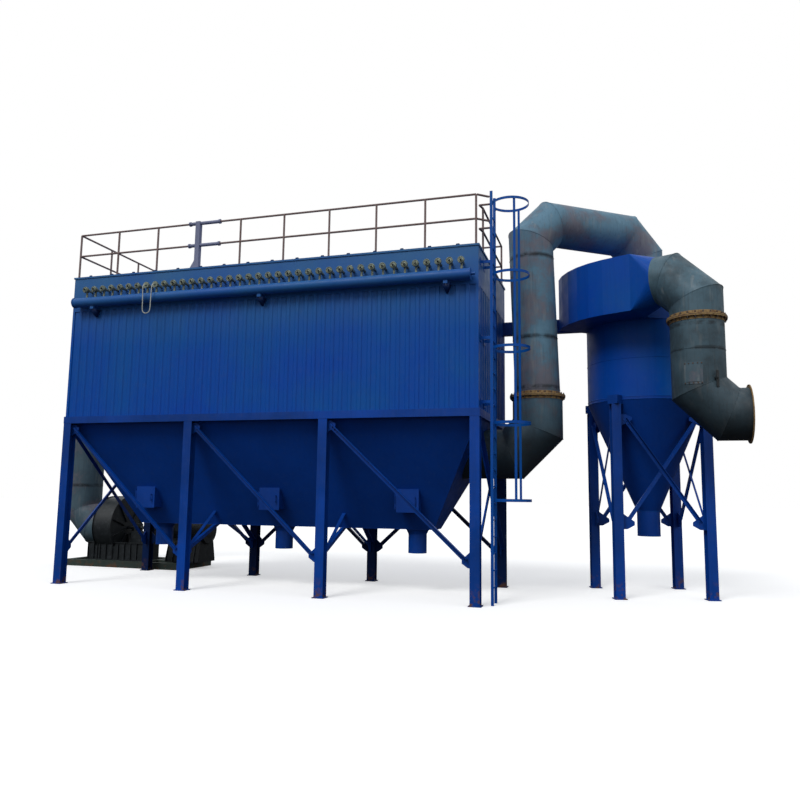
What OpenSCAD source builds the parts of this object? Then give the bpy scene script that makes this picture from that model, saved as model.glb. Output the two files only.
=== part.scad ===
// Baghouse dust collector on legs, with its cyclone pre-separator, mitred ducts and fan set.
// Millimetres. X runs along the filter house, Y from the front to the rear, Z up.
// The origin is the middle of the underside of the front left base plate.

/* [Filter house] */
// Distance between neighbouring columns along the house
bay = 3250; // [3100:50:3400]
// Distance between the front and rear rows of columns
depth = 3300; // [3200:50:3450]
// Height of the underside of the ring beam
ring_z = 3700; // [3600:50:3800]
// Height of the top of the roof sheet
roof_z = 7250; // [7150:50:7350]
// Width of the column section
col_w = 200; // [180:10:220]
// Height of the handrail above the roof
rail_h = 1100; // [1000:50:1200]

/* [Hopper] */
// Height of the underside of the hopper floor
hopper_z = 1375; // [1325:25:1425]
// How far the floor stops short of the end columns
hopper_inset = 1170; // [1100:10:1250]
// Outer diameter of the dust outlets
outlet_d = 410; // [350:10:450]
// Height of the lower end of the dust outlets
outlet_z = 850; // [750:25:950]
// Width and height of an inspection door
door_w = 500; // [440:10:540]

/* [Ducts] */
// Outer diameter of the duct from the cyclone to the hopper
crossover_d = 970; // [850:10:1020]
// Outer diameter of the duct that feeds the cyclone
feed_d = 1030; // [900:10:1080]
// Outer diameter of the clean air duct to the fan
clean_d = 960; // [880:10:980]

/* [Cyclone] */
// Outer diameter of the cyclone barrel
cyclone_d = 2560; // [2440:20:2640]
// Height of the top of the cone
cone_z = 4310; // [4200:10:4400]
// Height of the underside of the inlet scroll
scroll_z = 6000; // [5900:50:6050]
// Height of the inlet scroll
scroll_h = 1220; // [1150:10:1250]
// Width of the inlet passage of the scroll
inlet_w = 750; // [700:10:800]

/* [Fan] */
// Height of the fan shaft
shaft_z = 1080; // [1050:10:1120]
// Largest radius of the fan casing
casing_r = 870; // [800:10:880]
// Width of the fan casing
casing_w = 600; // [500:10:640]

/* [Hidden] */
house_blue = "#0a3a8c";
frame_blue = "#0a2f8a";
hopper_blue = "#0b2360";
duct_grey = "#5a6a70";
rust_grey = "#6b5550";
fan_black = "#20252a";

// Filter house
bays = 3;
length = bays * bay;
over = 80;
ring_h = 160;
ring_out = over + 25;
ring_in = 120;
wall_t = 80;
rib_h = 20;
rib_pitch = 210;
band_z = 6400;
roof_t = 40;
plate_w = 260;
plate_t = 20;
bolt_hole = 22;
bolt_x = 120;
bolt_y = 100;
flange_t = 12;
web_t = 9;

// Bracing
brace_w = 95;
brace_t = 10;
brace_top = ring_z - 140;
brace_low = 860;
gusset_t = 10;
weld = 1;
gusset_reach = 270;
inner_leg = 35;

// Hopper
sheet_t = 10;
hop_y = 105;
hop_x = -25;
floor_half = 320;
hop_mid = depth / 2;
hop_low_y = hop_mid - floor_half;
hop_fall = ring_z - hopper_z - sheet_t;
hop_run = (hop_low_y - hop_y) / hop_fall;
outlet_t = 10;

// Inspection doors
frame_w = door_w - 40;
hole_w = door_w - 100;
door_z = 2000;
door_t = 12;
door_gap = 8;
frame_y = hop_y + (ring_z - door_z - door_w / 2) * hop_run - 60;
pin_r = 10;
pin_fit = 0.08;
pin_x = -door_w / 2 - 26;
pin_y = frame_y - door_gap - door_t / 2;

// Gap at curved faces that meet
slip = 0.3;

// Roof rails
rail_r = 24;
rail_in = 60;
post_count = 10;
end_posts = 4;
mast_post = 3;
mast_x = 3240;
mast_w = 110;

// Compressed air header and valves
header_r = 112;
header_y = -over - header_r - 66;
header_z = 6565;
header_x = 115;
header_end = length - 55;
valve_count = 39;
valve_pitch = (header_end - header_x - 513) / (valve_count - 1);
valve_x = header_x + 335;
valve_lift = 285;
cap_r = 72;
cap_reach = 80;
cap_face_y = header_y - cap_reach;

// Ladder and cage
ladder_x = length + 300;
ladder_y = 375;
ladder_half = 200;
stringer_w = 60;
stringer_t = 12;
rung_pitch = 330;
ladder_top = roof_z + 1200;
ladder_holds = [ring_z + ring_h + 120, roof_z - 1950, roof_z - 350];
cage_r = 385;
cage_x = ladder_x + 370;
cage_sides = 48;
hoop_low = 2040;
hoop_pitch = 1540;
hoops = 5;
hoop_h = 55;
strip_t = 8;
strap_w = 50;
tab_w = 60;

// Ducts
duct_t = 12;
duct_sides = 36;
riser_x = length + 1050;
riser_y = depth / 2;
inlet_z = 3035;
run_z = 8250;
riser_lean = 110;
riser_foot_z = 4400;
flange_z = 4250;
inlet_d = crossover_d + 100;
flange_w = 60;
flange_h = 50;
end_flange_h = 20;
end_bolts = 12;
end_bolt_d = 18;

// Cyclone
cyc_gap = 3325;
cyc_x = length + cyc_gap;
cyc_y = depth + 100;
cyc_r = cyclone_d / 2;
cyc_t = 14;
cyc_turn = 16.5;
cone_low = 1830;
cone_r = 250;
cone_rim = 60;
cone_slope = (cone_z - cone_rim - cone_low) / (cyc_r - cone_r);
leg_inset = 300;
leg_half = cyc_r - leg_inset;
leg_clear = 7;
leg_top = min(cone_z - 160, cone_height((leg_half - col_w / 2) * sqrt(2) - leg_clear));
leg_tip = leg_half - 200;
bar_clear = 43;
gusset_grip = 160;
top_gusset = 150;
low_gusset = 190;
bar_low = 1600;
bar_high = cone_height(norm([leg_tip - gusset_grip, leg_half]) - bar_clear) - 0.3 * top_gusset;
bracket_w = 240;
bracket_h = 190;
bracket_root = 100;
bracket_end = 110;
cyc_spout_z = 1270;
inlet_az = -25;
inlet_end = 620;
inlet_tip = 1080;
feed_a = feed_d / 2;
feed_s = 1832;
feed_z = scroll_z + scroll_h / 2;
feed_low = 3765;
feed_flange_z = feed_z - 950;
feed_out = 900;

// Fan set
fan_y = depth + 1100;
fan_x = -1790;
outlet_y = 950;
clean_x = -3075;
clean_z = roof_z - roof_t - clean_d / 2 - 15;
clean_wall_x = 1000;
skid_x = -2950;
skid_end = 850;
skid_front = depth + 250;
skid_back = depth + 1900;
skid_h = 180;
motor_x = 40;
motor_end = 1230;
motor_r = 390;

// Pilot hose that hangs between the caps of two valves
hose_r = 11;
hose_a = valve_x + 7 * valve_pitch;
hose_b = hose_a + valve_pitch;
hose_mid = (hose_a + hose_b) / 2;
hose_z = header_z + valve_lift;
hose_seat = cap_face_y - slip;
hose_route = [
    [hose_a, hose_seat, hose_z], [hose_a, -352, hose_z], [hose_a, -386, 6843],
    [hose_a, -414, 6824], [hose_a + 1, -433, 6796], [hose_a + 2, -440, 6762],
    [hose_a + 8, -440, 6600], [hose_a + 15, -440, 6420], [hose_mid - 100, -440, 6250],
    [hose_mid - 87, -440, 6200], [hose_mid - 50, -440, 6163], [hose_mid, -440, 6150],
    [hose_mid + 50, -440, 6163], [hose_mid + 87, -440, 6200], [hose_mid + 100, -440, 6250],
    [hose_b - 15, -440, 6420], [hose_b - 8, -440, 6600], [hose_b - 2, -440, 6762],
    [hose_b - 1, -433, 6796], [hose_b, -414, 6824], [hose_b, -386, 6843],
    [hose_b, -352, hose_z], [hose_b, hose_seat, hose_z]
];

// Height at which the cone has the outer radius r
function cone_height(r) = cone_low + (r - cone_r) * cone_slope;
function unit(v) = v / norm(v);

// Rings of points along a path: the first one square to its start, each later one where
// the walls meet the mitre plane at the next point. A path starts level or upright.
function across(u) = abs(u.z) > 0.5 ? [1, 0, 0] : [0, 0, 1];
function first_ring(path, r, sides) = let (u = unit(path[1] - path[0]), e = across(u), f = cross(u, e))
    [for (k = [0 : sides - 1]) path[0] + r * (cos(360 * k / sides) * e
        + sin(360 * k / sides) * f)];
function heading(path, i) = unit(path[i] - path[i - 1]);
function mitre(path, i) = i == len(path) - 1 ? heading(path, i)
    : unit(heading(path, i) + heading(path, i + 1));
function next_ring(path, i, last) = let (u = heading(path, i), m = mitre(path, i))
    [for (p = last) p + u * ((path[i] - p) * m) / (u * m)];
function rings(path, r, sides, i) = i == 0 ? [first_ring(path, r, sides)]
    : let (so_far = rings(path, r, sides, i - 1))
        concat(so_far, [next_ring(path, i, so_far[i - 1])]);
function all_points(path, r, sides) = [for (one = rings(path, r, sides, len(path) - 1)) each one];
function slope_y(z) = hop_y + (ring_z - z) * hop_run;

// Turns the Z axis of what follows to the direction d
module along(d) {
    u = unit(d);
    rotate([0, acos(u.z), atan2(u.y, u.x)])
        children();
}

// A straight angle bar from a to b. Its flat leg lies on the side out of a gusset in the
// plane of a and b, run in by the weld, and its other leg stands out by leg.
module angle_bar(a, b, out, w = brace_w, leg = brace_w, t = brace_t) {
    u = unit(b - a);
    s = cross([0, 0, 1], u) * out < 0 ? -1 : 1;
    translate(a + out * (gusset_t / 2 - weld))
        along(u)
            linear_extrude(norm(b - a))
                polygon([[-w / 2, 0], [w / 2, 0], [w / 2, s * t], [-w / 2 + t, s * t],
                    [-w / 2 + t, s * leg], [-w / 2, s * leg]]);
}

// Packing piece between two angle bars that cross, with its axis along out
module crossing_piece(p, out) {
    translate(p - out * gusset_t / 2)
        along(out)
            cylinder(h = gusset_t, r = 32, $fn = 12);
}

// A round bar from a to b
module round_bar(a, b, r, sides = 8) {
    translate(a)
        along(b - a)
            cylinder(h = norm(b - a), r = r, $fn = sides);
}

// A duct of straight gores along the points of a path, mitred where they meet
module mitred_duct(path, d, t = duct_t) {
    n = len(path);
    m = duct_sides;
    inside = n * m;
    end = (n - 1) * m;
    outer = [for (i = [0 : n - 2], k = [0 : m - 1])
        [i * m + k, i * m + (k + 1) % m, (i + 1) * m + (k + 1) % m, (i + 1) * m + k]];
    inner = [for (f = outer) [for (j = [3 : -1 : 0]) f[j] + inside]];
    start_rim = [for (k = [0 : m - 1]) [(k + 1) % m, k, inside + k, inside + (k + 1) % m]];
    end_rim = [for (f = start_rim) [for (j = [3 : -1 : 0]) f[j] + end]];
    polyhedron(concat(all_points(path, d / 2, m), all_points(path, d / 2 - t, m)),
        concat(outer, inner, start_rim, end_rim));
}

// A solid rod swept along the points of a path
module swept_rod(path, r, sides) {
    n = len(path);
    m = sides;
    walls = [for (i = [0 : n - 2], k = [0 : m - 1])
        [i * m + k, i * m + (k + 1) % m, (i + 1) * m + (k + 1) % m, (i + 1) * m + k]];
    polyhedron(all_points(path, r, m), concat(walls, [[for (k = [m - 1 : -1 : 0]) k]],
        [[for (k = [0 : m - 1]) (n - 1) * m + k]]));
}

// Columns of the house
module column(h) {
    w = col_w / 2;
    difference() {
        translate([-plate_w / 2, -plate_w / 2, 0])
            cube([plate_w, plate_w, plate_t]);
        for (x = [-1, 1], y = [-1, 1])
            translate([x * bolt_x / 2, y * bolt_y / 2, -1])
                cylinder(h = plate_t + 2, d = bolt_hole, $fn = 24);
    }
    translate([0, 0, plate_t])
        linear_extrude(h - plate_t)
            union() {
                translate([-w, -w])
                    square([col_w, flange_t]);
                translate([-w, w - flange_t])
                    square([col_w, flange_t]);
                translate([-web_t / 2, -w])
                    square([web_t, col_w]);
            }
}

module column_row(y) {
    for (i = [0 : bays])
        translate([i * bay, y, 0])
            column(ring_z);
}

module front_columns() {
    color(frame_blue)
        column_row(0);
}

module rear_columns() {
    color(frame_blue)
        column_row(depth);
}

// A five-sided gusset that starts at a column and takes the end of a brace
module gusset(reach, h) {
    rotate([90, 0, 0])
        linear_extrude(gusset_t, center = true)
            polygon([[0, -h * 0.75], [reach * 0.55, -h * 0.75], [reach, -h * 0.3],
                [reach, h * 0.1], [reach * 0.3, h], [0, h]]);
}

// The two gussets and the bar of one diagonal in the plane of a column row
module diagonal(x, flip, side) {
    x_high = flip ? x + bay : x;
    x_low = flip ? x : x + bay;
    s = flip ? -1 : 1;
    translate([x_high + s * web_t / 2, 0, brace_top])
        mirror([flip ? 1 : 0, 0, 0])
            mirror([0, 0, 1])
                gusset(gusset_reach - 20, 150);
    translate([x_low - s * web_t / 2, 0, brace_low])
        mirror([flip ? 0 : 1, 0, 0])
            gusset(gusset_reach, 190);
    angle_bar([x_high + s * 150, 0, brace_top], [x_low - s * 190, 0, brace_low], [0, side, 0]);
}

module front_braces() {
    color(frame_blue)
        for (i = [0 : bays - 1])
            diagonal(i * bay, false, -1);
}

module rear_braces() {
    color(frame_blue)
        translate([0, depth, 0])
            for (i = [0 : bays - 1]) {
                diagonal(i * bay, false, -1);
                diagonal(i * bay, true, 1);
                crossing_piece([(i + 0.5) * bay, 0, (brace_top + brace_low) / 2], [0, 1, 0]);
            }
}

// Crossed braces between a front and a rear column at the left end of the house
module frame_braces() {
    y0 = col_w / 2;
    y1 = depth - col_w / 2;
    reach = gusset_reach - 70;
    top = brace_top - 60;
    for (k = [0, 1])
        translate([0, k * depth, 0])
            mirror([0, k, 0])
                translate([0, y0, 0])
                    rotate([0, 0, 90]) {
                        translate([0, 0, brace_low])
                            gusset(reach, 190);
                        translate([0, 0, top])
                            mirror([0, 0, 1])
                                gusset(reach, 150);
                    }
    angle_bar([0, y0 + 90, brace_low], [0, y1 - 60, top], [1, 0, 0], brace_w, inner_leg);
    angle_bar([0, y0 + 60, top], [0, y1 - 90, brace_low], [-1, 0, 0]);
    crossing_piece([0, depth / 2, (top + brace_low) / 2], [1, 0, 0]);
}

module end_braces() {
    color(frame_blue) {
        frame_braces();
        translate([length, 0, 0])
            mirror([1, 0, 0])
                frame_braces();
    }
}

// Solid outer form of the hopper, for cutting what butts against it
module hopper_form(in = 0) {
    z0 = hopper_z + sheet_t;
    intersection() {
        rotate([90, 0, 0])
            linear_extrude(2 * depth, center = true)
                polygon([[hop_x + in, ring_z], [length - hop_x - in, ring_z],
                    [length - hopper_inset - in, z0], [hopper_inset + in, z0]]);
        rotate([90, 0, 90])
            linear_extrude(3 * length, center = true)
                polygon([[hop_y + in, ring_z], [depth - hop_y - in, ring_z],
                    [depth - hop_low_y - in, z0], [hop_low_y + in, z0]]);
    }
}

module knee(x) {
    y0 = col_w / 2;
    leg = 80;
    translate([x, y0, brace_low])
        rotate([0, 0, 90])
            gusset(gusset_reach - 70, 190);
    translate([x, 0, 0]) {
        difference() {
            angle_bar([0, y0 + 60, brace_low + 60], [0, y0 + 1200, brace_low + 890],
                [1, 0, 0], leg, leg);
            translate([-x, 0, 0])
                hopper_form();
        }
        difference() {
            angle_bar([0, y0 + 60, brace_low], [0, hop_mid - 150, hopper_z + 40],
                [-1, 0, 0], leg, leg);
            translate([-500, 0, hopper_z])
                cube([1000, depth, 500]);
        }
    }
}

module knee_braces() {
    color(frame_blue)
        for (i = [1 : bays - 1]) {
            knee(i * bay);
            translate([0, depth, 0])
                mirror([0, 1, 0])
                    knee(i * bay);
        }
}

// Ring beam, walls and roof
module frame_band(x0, y0, w, d, wide, h) {
    difference() {
        translate([x0, y0, 0])
            cube([w, d, h]);
        translate([x0 + wide, y0 + wide, -1])
            cube([w - 2 * wide, d - 2 * wide, h + 2]);
    }
}

module ring_beam() {
    color(frame_blue)
        translate([0, 0, ring_z])
            frame_band(-ring_out, -ring_out, length + 2 * ring_out, depth + 2 * ring_out,
                ring_out + ring_in, ring_h);
}

// Ribbed wall sheet of a given width, its outer crests on y = 0 and its back on y = wall_t
module ribbed_wall(w, h_low, h_high) {
    count = floor((w - 120) / rib_pitch);
    start = (w - count * rib_pitch) / 2;
    crest = rib_pitch * 0.3;
    slope = rib_pitch * 0.1;
    ribs = [for (i = [0 : count - 1], p = [[0, rib_h], [slope, 0], [slope + crest, 0],
        [2 * slope + crest, rib_h]]) [start + i * rib_pitch + p[0] + rib_pitch * 0.25, p[1]]];
    linear_extrude(h_low)
        polygon(concat([[0, wall_t], [0, 0], [60, 0], [60, rib_h]], ribs,
            [[w - 60, rib_h], [w - 60, 0], [w, 0], [w, wall_t]]));
    translate([0, 0, h_low])
        cube([w, wall_t, h_high - h_low]);
}

module placed_wall(w) {
    ribbed_wall(w, band_z - ring_z - ring_h, roof_z - roof_t - ring_z - ring_h);
}

module front_wall() {
    color(house_blue)
        translate([-over, -over, ring_z + ring_h])
            placed_wall(length + 2 * over);
}

module rear_wall() {
    color(house_blue)
        translate([length + over, depth + over, ring_z + ring_h])
            rotate([0, 0, 180])
                placed_wall(length + 2 * over);
}

module left_wall() {
    color(house_blue)
        translate([-over, depth + over - wall_t, ring_z + ring_h])
            rotate([0, 0, -90])
                placed_wall(depth + 2 * (over - wall_t));
}

module right_wall() {
    color(house_blue)
        translate([length + over, -over + wall_t, ring_z + ring_h])
            rotate([0, 0, 90])
                placed_wall(depth + 2 * (over - wall_t));
}

module roof_sheet() {
    lip = over + 20;
    color(house_blue)
        translate([-lip, -lip, roof_z - roof_t])
            cube([length + 2 * lip, depth + 2 * lip, roof_t]);
}

module roof_lids() {
    lids = 8;
    pitch = (length - 100) / lids;
    color(house_blue)
        for (i = [0 : lids - 1])
            translate([50 + i * pitch, 0, roof_z]) {
                translate([40, 120, 0])
                    cube([pitch - 80, depth - 240, 60]);
                for (y = [60, depth - 120])
                    translate([pitch / 2 - 60, y, 0])
                        cube([120, 60, 45]);
            }
}

// Straight rail from a to b, seen from above, on posts at equal steps but for those in skip
module rail_run(a, b, posts, skip = []) {
    for (i = [0 : posts - 1])
        if (len(search(i, skip)) == 0) {
            p = a + (b - a) * i / (posts - 1);
            round_bar([p.x, p.y, roof_z], [p.x, p.y, roof_z + rail_h - rail_r], rail_r);
            translate([p.x - 50, p.y - 50, roof_z])
                cube([100, 100, 10]);
        }
    for (z = rail_zs)
        round_bar([a.x, a.y, z], [b.x, b.y, z], rail_r);
}

rail_lo = -over + rail_in;
rail_hi = depth + over - rail_in;
rail_rt = length + over - rail_in;
rail_zs = [roof_z + rail_h / 2, roof_z + rail_h - rail_r];

module front_rail() {
    color(rust_grey)
        rail_run([rail_lo, rail_lo], [rail_rt, rail_lo], post_count, [mast_post]);
}

module rear_rail() {
    color(rust_grey)
        rail_run([rail_lo, rail_hi], [rail_rt, rail_hi], post_count);
}

module left_rail() {
    color(rust_grey)
        rail_run([rail_lo, rail_lo + rail_r], [rail_lo, rail_hi - rail_r], end_posts,
            [0, end_posts - 1]);
}

// The rail from the rear corner bends in to the ladder, and short bars close its front side
module right_rail() {
    y_open = ladder_y + ladder_half + 190;
    y_hook = ladder_y + ladder_half;
    x_hook = rail_rt - 40;
    corner = [rail_rt, rail_lo];
    meet = [ladder_x, ladder_y - ladder_half - stringer_t / 2];
    start = corner + unit(meet - corner) * (rail_r + slip);
    color(rust_grey) {
        rail_run([rail_rt, y_open], [rail_rt, rail_hi - rail_r], end_posts - 1,
            [end_posts - 2]);
        for (z = rail_zs) {
            round_bar([rail_rt, y_open + rail_r, z], [x_hook, y_hook, z], rail_r);
            round_bar([x_hook, y_hook, z], [ladder_x - stringer_w / 2, y_hook, z], rail_r);
            difference() {
                round_bar([start.x, start.y, z], [meet.x + 60, meet.y + 100, z], rail_r);
                translate([ladder_x - 300, meet.y, z - 100])
                    cube([600, 600, 200]);
            }
        }
    }
}

// Lifting post in place of a rail post, with sleeves over the two rails
module hoist_mast() {
    sleeve = [-240, 570];
    collar = 40;
    sleeve_r = 40;
    color(house_blue)
        difference() {
            translate([mast_x, rail_lo, 0]) {
                translate([-mast_w / 2, -mast_w / 2, roof_z])
                    cube([mast_w, mast_w, rail_h - rail_r + sleeve_r]);
                translate([0, mast_w / 2, roof_z])
                    rotate([90, 0, 0])
                        linear_extrude(mast_w)
                            polygon([[-mast_w * 1.5, 0], [0, 0], [0, 380],
                                [-mast_w * 0.6, 160]]);
                for (z = rail_zs)
                    translate([sleeve[0], 0, z])
                        rotate([0, 90, 0]) {
                            cylinder(h = sleeve[1] - sleeve[0], r = sleeve_r, $fn = 16);
                            cylinder(h = collar, r = sleeve_r + 12, $fn = 16);
                            translate([0, 0, sleeve[1] - sleeve[0] - collar])
                                cylinder(h = collar, r = sleeve_r + 12, $fn = 16);
                        }
            }
            for (z = rail_zs)
                translate([mast_x + 2 * sleeve[0], rail_lo, z])
                    rotate([0, 90, 0])
                        cylinder(h = 2 * (sleeve[1] - sleeve[0]), r = rail_r + slip, $fn = 16);
        }
}

// Compressed air header with its brackets
module air_header() {
    color(house_blue) {
        translate([header_x, header_y, header_z])
            rotate([0, 90, 0])
                cylinder(h = header_end - header_x, r = header_r, $fn = 40);
        for (x = [header_x - 12, header_end - 8])
            translate([x, header_y, header_z])
                rotate([0, 90, 0])
                    cylinder(h = 20, r = header_r + 12, $fn = 40);
        translate([header_end + 10, header_y, header_z])
            rotate([0, 90, 0])
                cylinder(h = 90, r = 30, $fn = 16);
        for (x = [625, length / 2 + 120, length - 565])
            translate([x - 45, header_y - 40, header_z - header_r - 60])
                cube([90, -over - header_y + 40, 75]);
    }
}

// Right-angle valve: inlet from the header below, outlet back into the wall, cap to the front
module pulse_valve() {
    translate([0, 0, header_r - 6])
        cylinder(h = valve_lift - header_r, r = 26, $fn = 8);
    translate([0, 0, valve_lift])
        rotate([90, 0, 0]) {
            translate([0, 0, over + header_y])
                cylinder(h = -over - header_y + cap_reach - 30, r = 30, $fn = 8);
            translate([0, 0, -34])
                cylinder(h = cap_reach + 4, r = 50, $fn = 12);
            translate([0, 0, cap_reach - 36])
                cylinder(h = 36, r = cap_r, $fn = 20);
        }
}

module pulse_valves() {
    color("#8f9a86")
        difference() {
            for (i = [0 : valve_count - 1])
                translate([valve_x + i * valve_pitch, header_y, header_z])
                    pulse_valve();
            translate([0, header_y, header_z])
                rotate([0, 90, 0])
                    cylinder(h = length, r = header_r + slip, $fn = 40);
        }
}

// Hopper plates
module hopper_side(rear) {
    z0 = hopper_z + sheet_t;
    translate([0, rear ? depth : 0, 0])
        mirror([0, rear ? 1 : 0, 0])
            intersection() {
                rotate([90, 0, 90])
                    linear_extrude(3 * length, center = true)
                        polygon([[hop_y, ring_z], [hop_y + sheet_t, ring_z],
                            [hop_low_y + sheet_t, z0], [hop_low_y, z0]]);
                rotate([90, 0, 0])
                    linear_extrude(2 * depth, center = true)
                        polygon([[hop_x, ring_z], [length - hop_x, ring_z],
                            [length - hopper_inset, z0], [hopper_inset, z0]]);
            }
}

module hopper_end(right) {
    z0 = hopper_z + sheet_t;
    translate([right ? length : 0, 0, 0])
        mirror([right ? 1 : 0, 0, 0])
            intersection() {
                rotate([90, 0, 0])
                    linear_extrude(3 * depth, center = true)
                        polygon([[hop_x, ring_z], [hop_x + sheet_t, ring_z],
                            [hopper_inset + sheet_t, z0], [hopper_inset, z0]]);
                rotate([90, 0, 90])
                    linear_extrude(3 * length, center = true)
                        polygon([[hop_y + sheet_t, ring_z], [depth - hop_y - sheet_t, ring_z],
                            [depth - hop_low_y - sheet_t, z0], [hop_low_y + sheet_t, z0]]);
            }
}

module hopper_front() {
    color(hopper_blue)
        difference() {
            hopper_side(false);
            for (i = [0 : bays - 1])
                translate([(i + 0.5) * bay - hole_w / 2, 0, door_z - hole_w / 2])
                    cube([hole_w, hop_mid, hole_w]);
        }
}

module hopper_rear() {
    color(hopper_blue)
        hopper_side(true);
}

module hopper_left() {
    color(hopper_blue)
        hopper_end(false);
}

module hopper_right() {
    color(hopper_blue)
        difference() {
            hopper_end(true);
            translate([length - 2000, riser_y, inlet_z])
                rotate([0, 90, 0])
                    cylinder(h = 3000, d = inlet_d - 2 * duct_t, $fn = 48);
        }
}

module hopper_floor() {
    color(hopper_blue)
        difference() {
            translate([hopper_inset, hop_low_y, hopper_z])
                cube([length - 2 * hopper_inset, 2 * floor_half, sheet_t]);
            for (i = [0 : bays - 1])
                translate([(i + 0.5) * bay, hop_mid, hopper_z - 1])
                    cylinder(h = sheet_t + 2, d = outlet_d, $fn = 32);
        }
}

module dust_outlets() {
    r = outlet_d / 2;
    top_r = r + 50;
    top_h = 110;
    h = hopper_z - outlet_z;
    color(frame_blue)
        for (i = [0 : bays - 1])
            translate([(i + 0.5) * bay, hop_mid, outlet_z])
                rotate_extrude($fn = 36)
                    polygon([[r - outlet_t, 0], [r, 0], [r, h - top_h], [top_r, h - 10],
                        [top_r, h], [r - outlet_t, h]]);
}

// Inspection door openings: an upright collar on the sloping plate, with the hinge pin
module door_frame() {
    w = frame_w;
    difference() {
        translate([-w / 2, frame_y, door_z - w / 2])
            cube([w, 900, w]);
        translate([-hole_w / 2, frame_y - 1, door_z - hole_w / 2])
            cube([hole_w, 1000, hole_w]);
        rotate([90, 0, 90])
            linear_extrude(2 * w, center = true)
                polygon([[slope_y(ring_z), ring_z], [slope_y(hopper_z), hopper_z],
                    [slope_y(hopper_z) + 2000, hopper_z], [slope_y(ring_z) + 2000, ring_z]]);
    }
    for (z = [-1, 1])
        translate([pin_x, pin_y, door_z + z * 170 - 15]) {
            cylinder(h = 30, r = 14, $fn = 24);
            translate([-10, 0, 0])
                cube([20, frame_y - pin_y + 30, 30]);
            translate([-10, frame_y - pin_y + 6, 0])
                cube([10 - pin_x - w / 2, 24, 30]);
        }
    translate([pin_x, pin_y, door_z - 185])
        cylinder(h = 370, r = pin_r, $fn = 24);
}

module door_frames() {
    color(hopper_blue)
        for (i = [0 : bays - 1])
            translate([(i + 0.5) * bay, 0, 0])
                door_frame();
}

module door_leaf(i) {
    y0 = frame_y - door_gap - door_t;
    color(hopper_blue)
        translate([(i + 0.5) * bay, 0, door_z]) {
            difference() {
                union() {
                    translate([-door_w / 2, y0, -door_w / 2])
                        cube([door_w, door_t, door_w]);
                    for (z = [-1, 1])
                        translate([pin_x, pin_y, z * 110 - 30]) {
                            cylinder(h = 60, r = 17, $fn = 24);
                            translate([0, -door_t / 2, 0])
                                cube([60, door_t, 60]);
                        }
                }
                translate([pin_x, pin_y, -200])
                    cylinder(h = 400, r = pin_r + pin_fit, $fn = 24);
            }
            for (z = [-75, 55])
                translate([door_w / 2 - 90, y0 - 50, z])
                    cube([20, 51, 20]);
            translate([door_w / 2 - 90, y0 - 62, -85])
                cube([20, 14, 170]);
        }
}

module door_1() {
    door_leaf(0);
}

module door_2() {
    door_leaf(1);
}

module door_3() {
    door_leaf(2);
}

// Ladder on the right end of the house
module ladder() {
    rungs = floor((ladder_top - 300) / rung_pitch);
    wall_x = length + over;
    pad = 170;
    pad_t = 8;
    color(house_blue) {
        for (s = [-1, 1])
            translate([ladder_x - stringer_w / 2, ladder_y + s * ladder_half - stringer_t / 2, 0])
                cube([stringer_w, stringer_t, ladder_top]);
        for (i = [1 : rungs])
            translate([ladder_x, ladder_y - ladder_half, i * rung_pitch])
                rotate([-90, 0, 0])
                    cylinder(h = 2 * ladder_half, r = 13, $fn = 8);
        for (z = ladder_holds, s = [-1, 1])
            translate([wall_x, ladder_y + s * ladder_half, z]) {
                translate([0, -stringer_t / 2, 0])
                    cube([ladder_x - wall_x, stringer_t, 60]);
                translate([0, -pad / 2, -pad / 2 + 30])
                    cube([pad_t, pad, pad]);
            }
    }
}

// Hoops, each with a tab at either end that lies on a stringer
module ladder_cage() {
    x_cut = ladder_x + stringer_w / 2;
    color(house_blue)
        for (i = [0 : hoops - 1])
            translate([0, ladder_y, hoop_low + i * hoop_pitch - hoop_h / 2]) {
                difference() {
                    translate([cage_x, 0, 0])
                        cylinder(h = hoop_h, r = cage_r, $fn = cage_sides);
                    translate([cage_x, 0, -1])
                        cylinder(h = hoop_h + 2, r = cage_r - strip_t, $fn = cage_sides);
                    translate([x_cut - 2 * cage_r, -cage_r, -1])
                        cube([2 * cage_r + strip_t, 2 * cage_r, hoop_h + 2]);
                }
                for (s = [-1, 1])
                    translate([x_cut, s * (ladder_half - 10) - tab_w / 2, 0])
                        cube([strip_t + 1, tab_w, hoop_h]);
            }
}

// Upright straps that stand against the inside of the hoops
module cage_straps() {
    flat_r = (cage_r - strip_t) * cos(180 / cage_sides);
    out = sqrt(flat_r * flat_r - strap_w * strap_w / 4) - slip;
    color(house_blue)
        for (a = [-70, 70])
            translate([cage_x, ladder_y, hoop_low])
                rotate([0, 0, a])
                    translate([out - strip_t, -strap_w / 2, 0])
                        cube([strip_t, strap_w, (hoops - 1) * hoop_pitch]);
}

// Ducts
cross_a = crossover_d / 2;
inlet_a = inlet_d / 2;
riser_top_x = riser_x - riser_lean;
cross_az = atan2(cyc_y - riser_y, cyc_x - riser_top_x);
cross_dir = [cos(cross_az), sin(cross_az), 0];
inlet_path = [
    [length - 500, riser_y, inlet_z],
    [riser_x - inlet_a, riser_y, inlet_z],
    [riser_x, riser_y, inlet_z + inlet_a],
    [riser_x, riser_y, flange_z]
];
cross_path = [
    [riser_x, riser_y, flange_z],
    [riser_x, riser_y, riser_foot_z],
    [riser_top_x, riser_y, run_z - cross_a],
    [riser_top_x, riser_y, run_z] + cross_a * cross_dir,
    [cyc_x, cyc_y, run_z] - cross_a * cross_dir,
    [cyc_x, cyc_y, run_z - cross_a],
    [cyc_x, cyc_y, scroll_z + scroll_h]
];

// Wide elbow out of the hopper, and the narrower riser and run that stand on its flange
module crossover_duct() {
    color(duct_grey) {
        difference() {
            mitred_duct(inlet_path, inlet_d);
            hopper_form();
        }
        mitred_duct(cross_path, crossover_d);
    }
}

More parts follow.
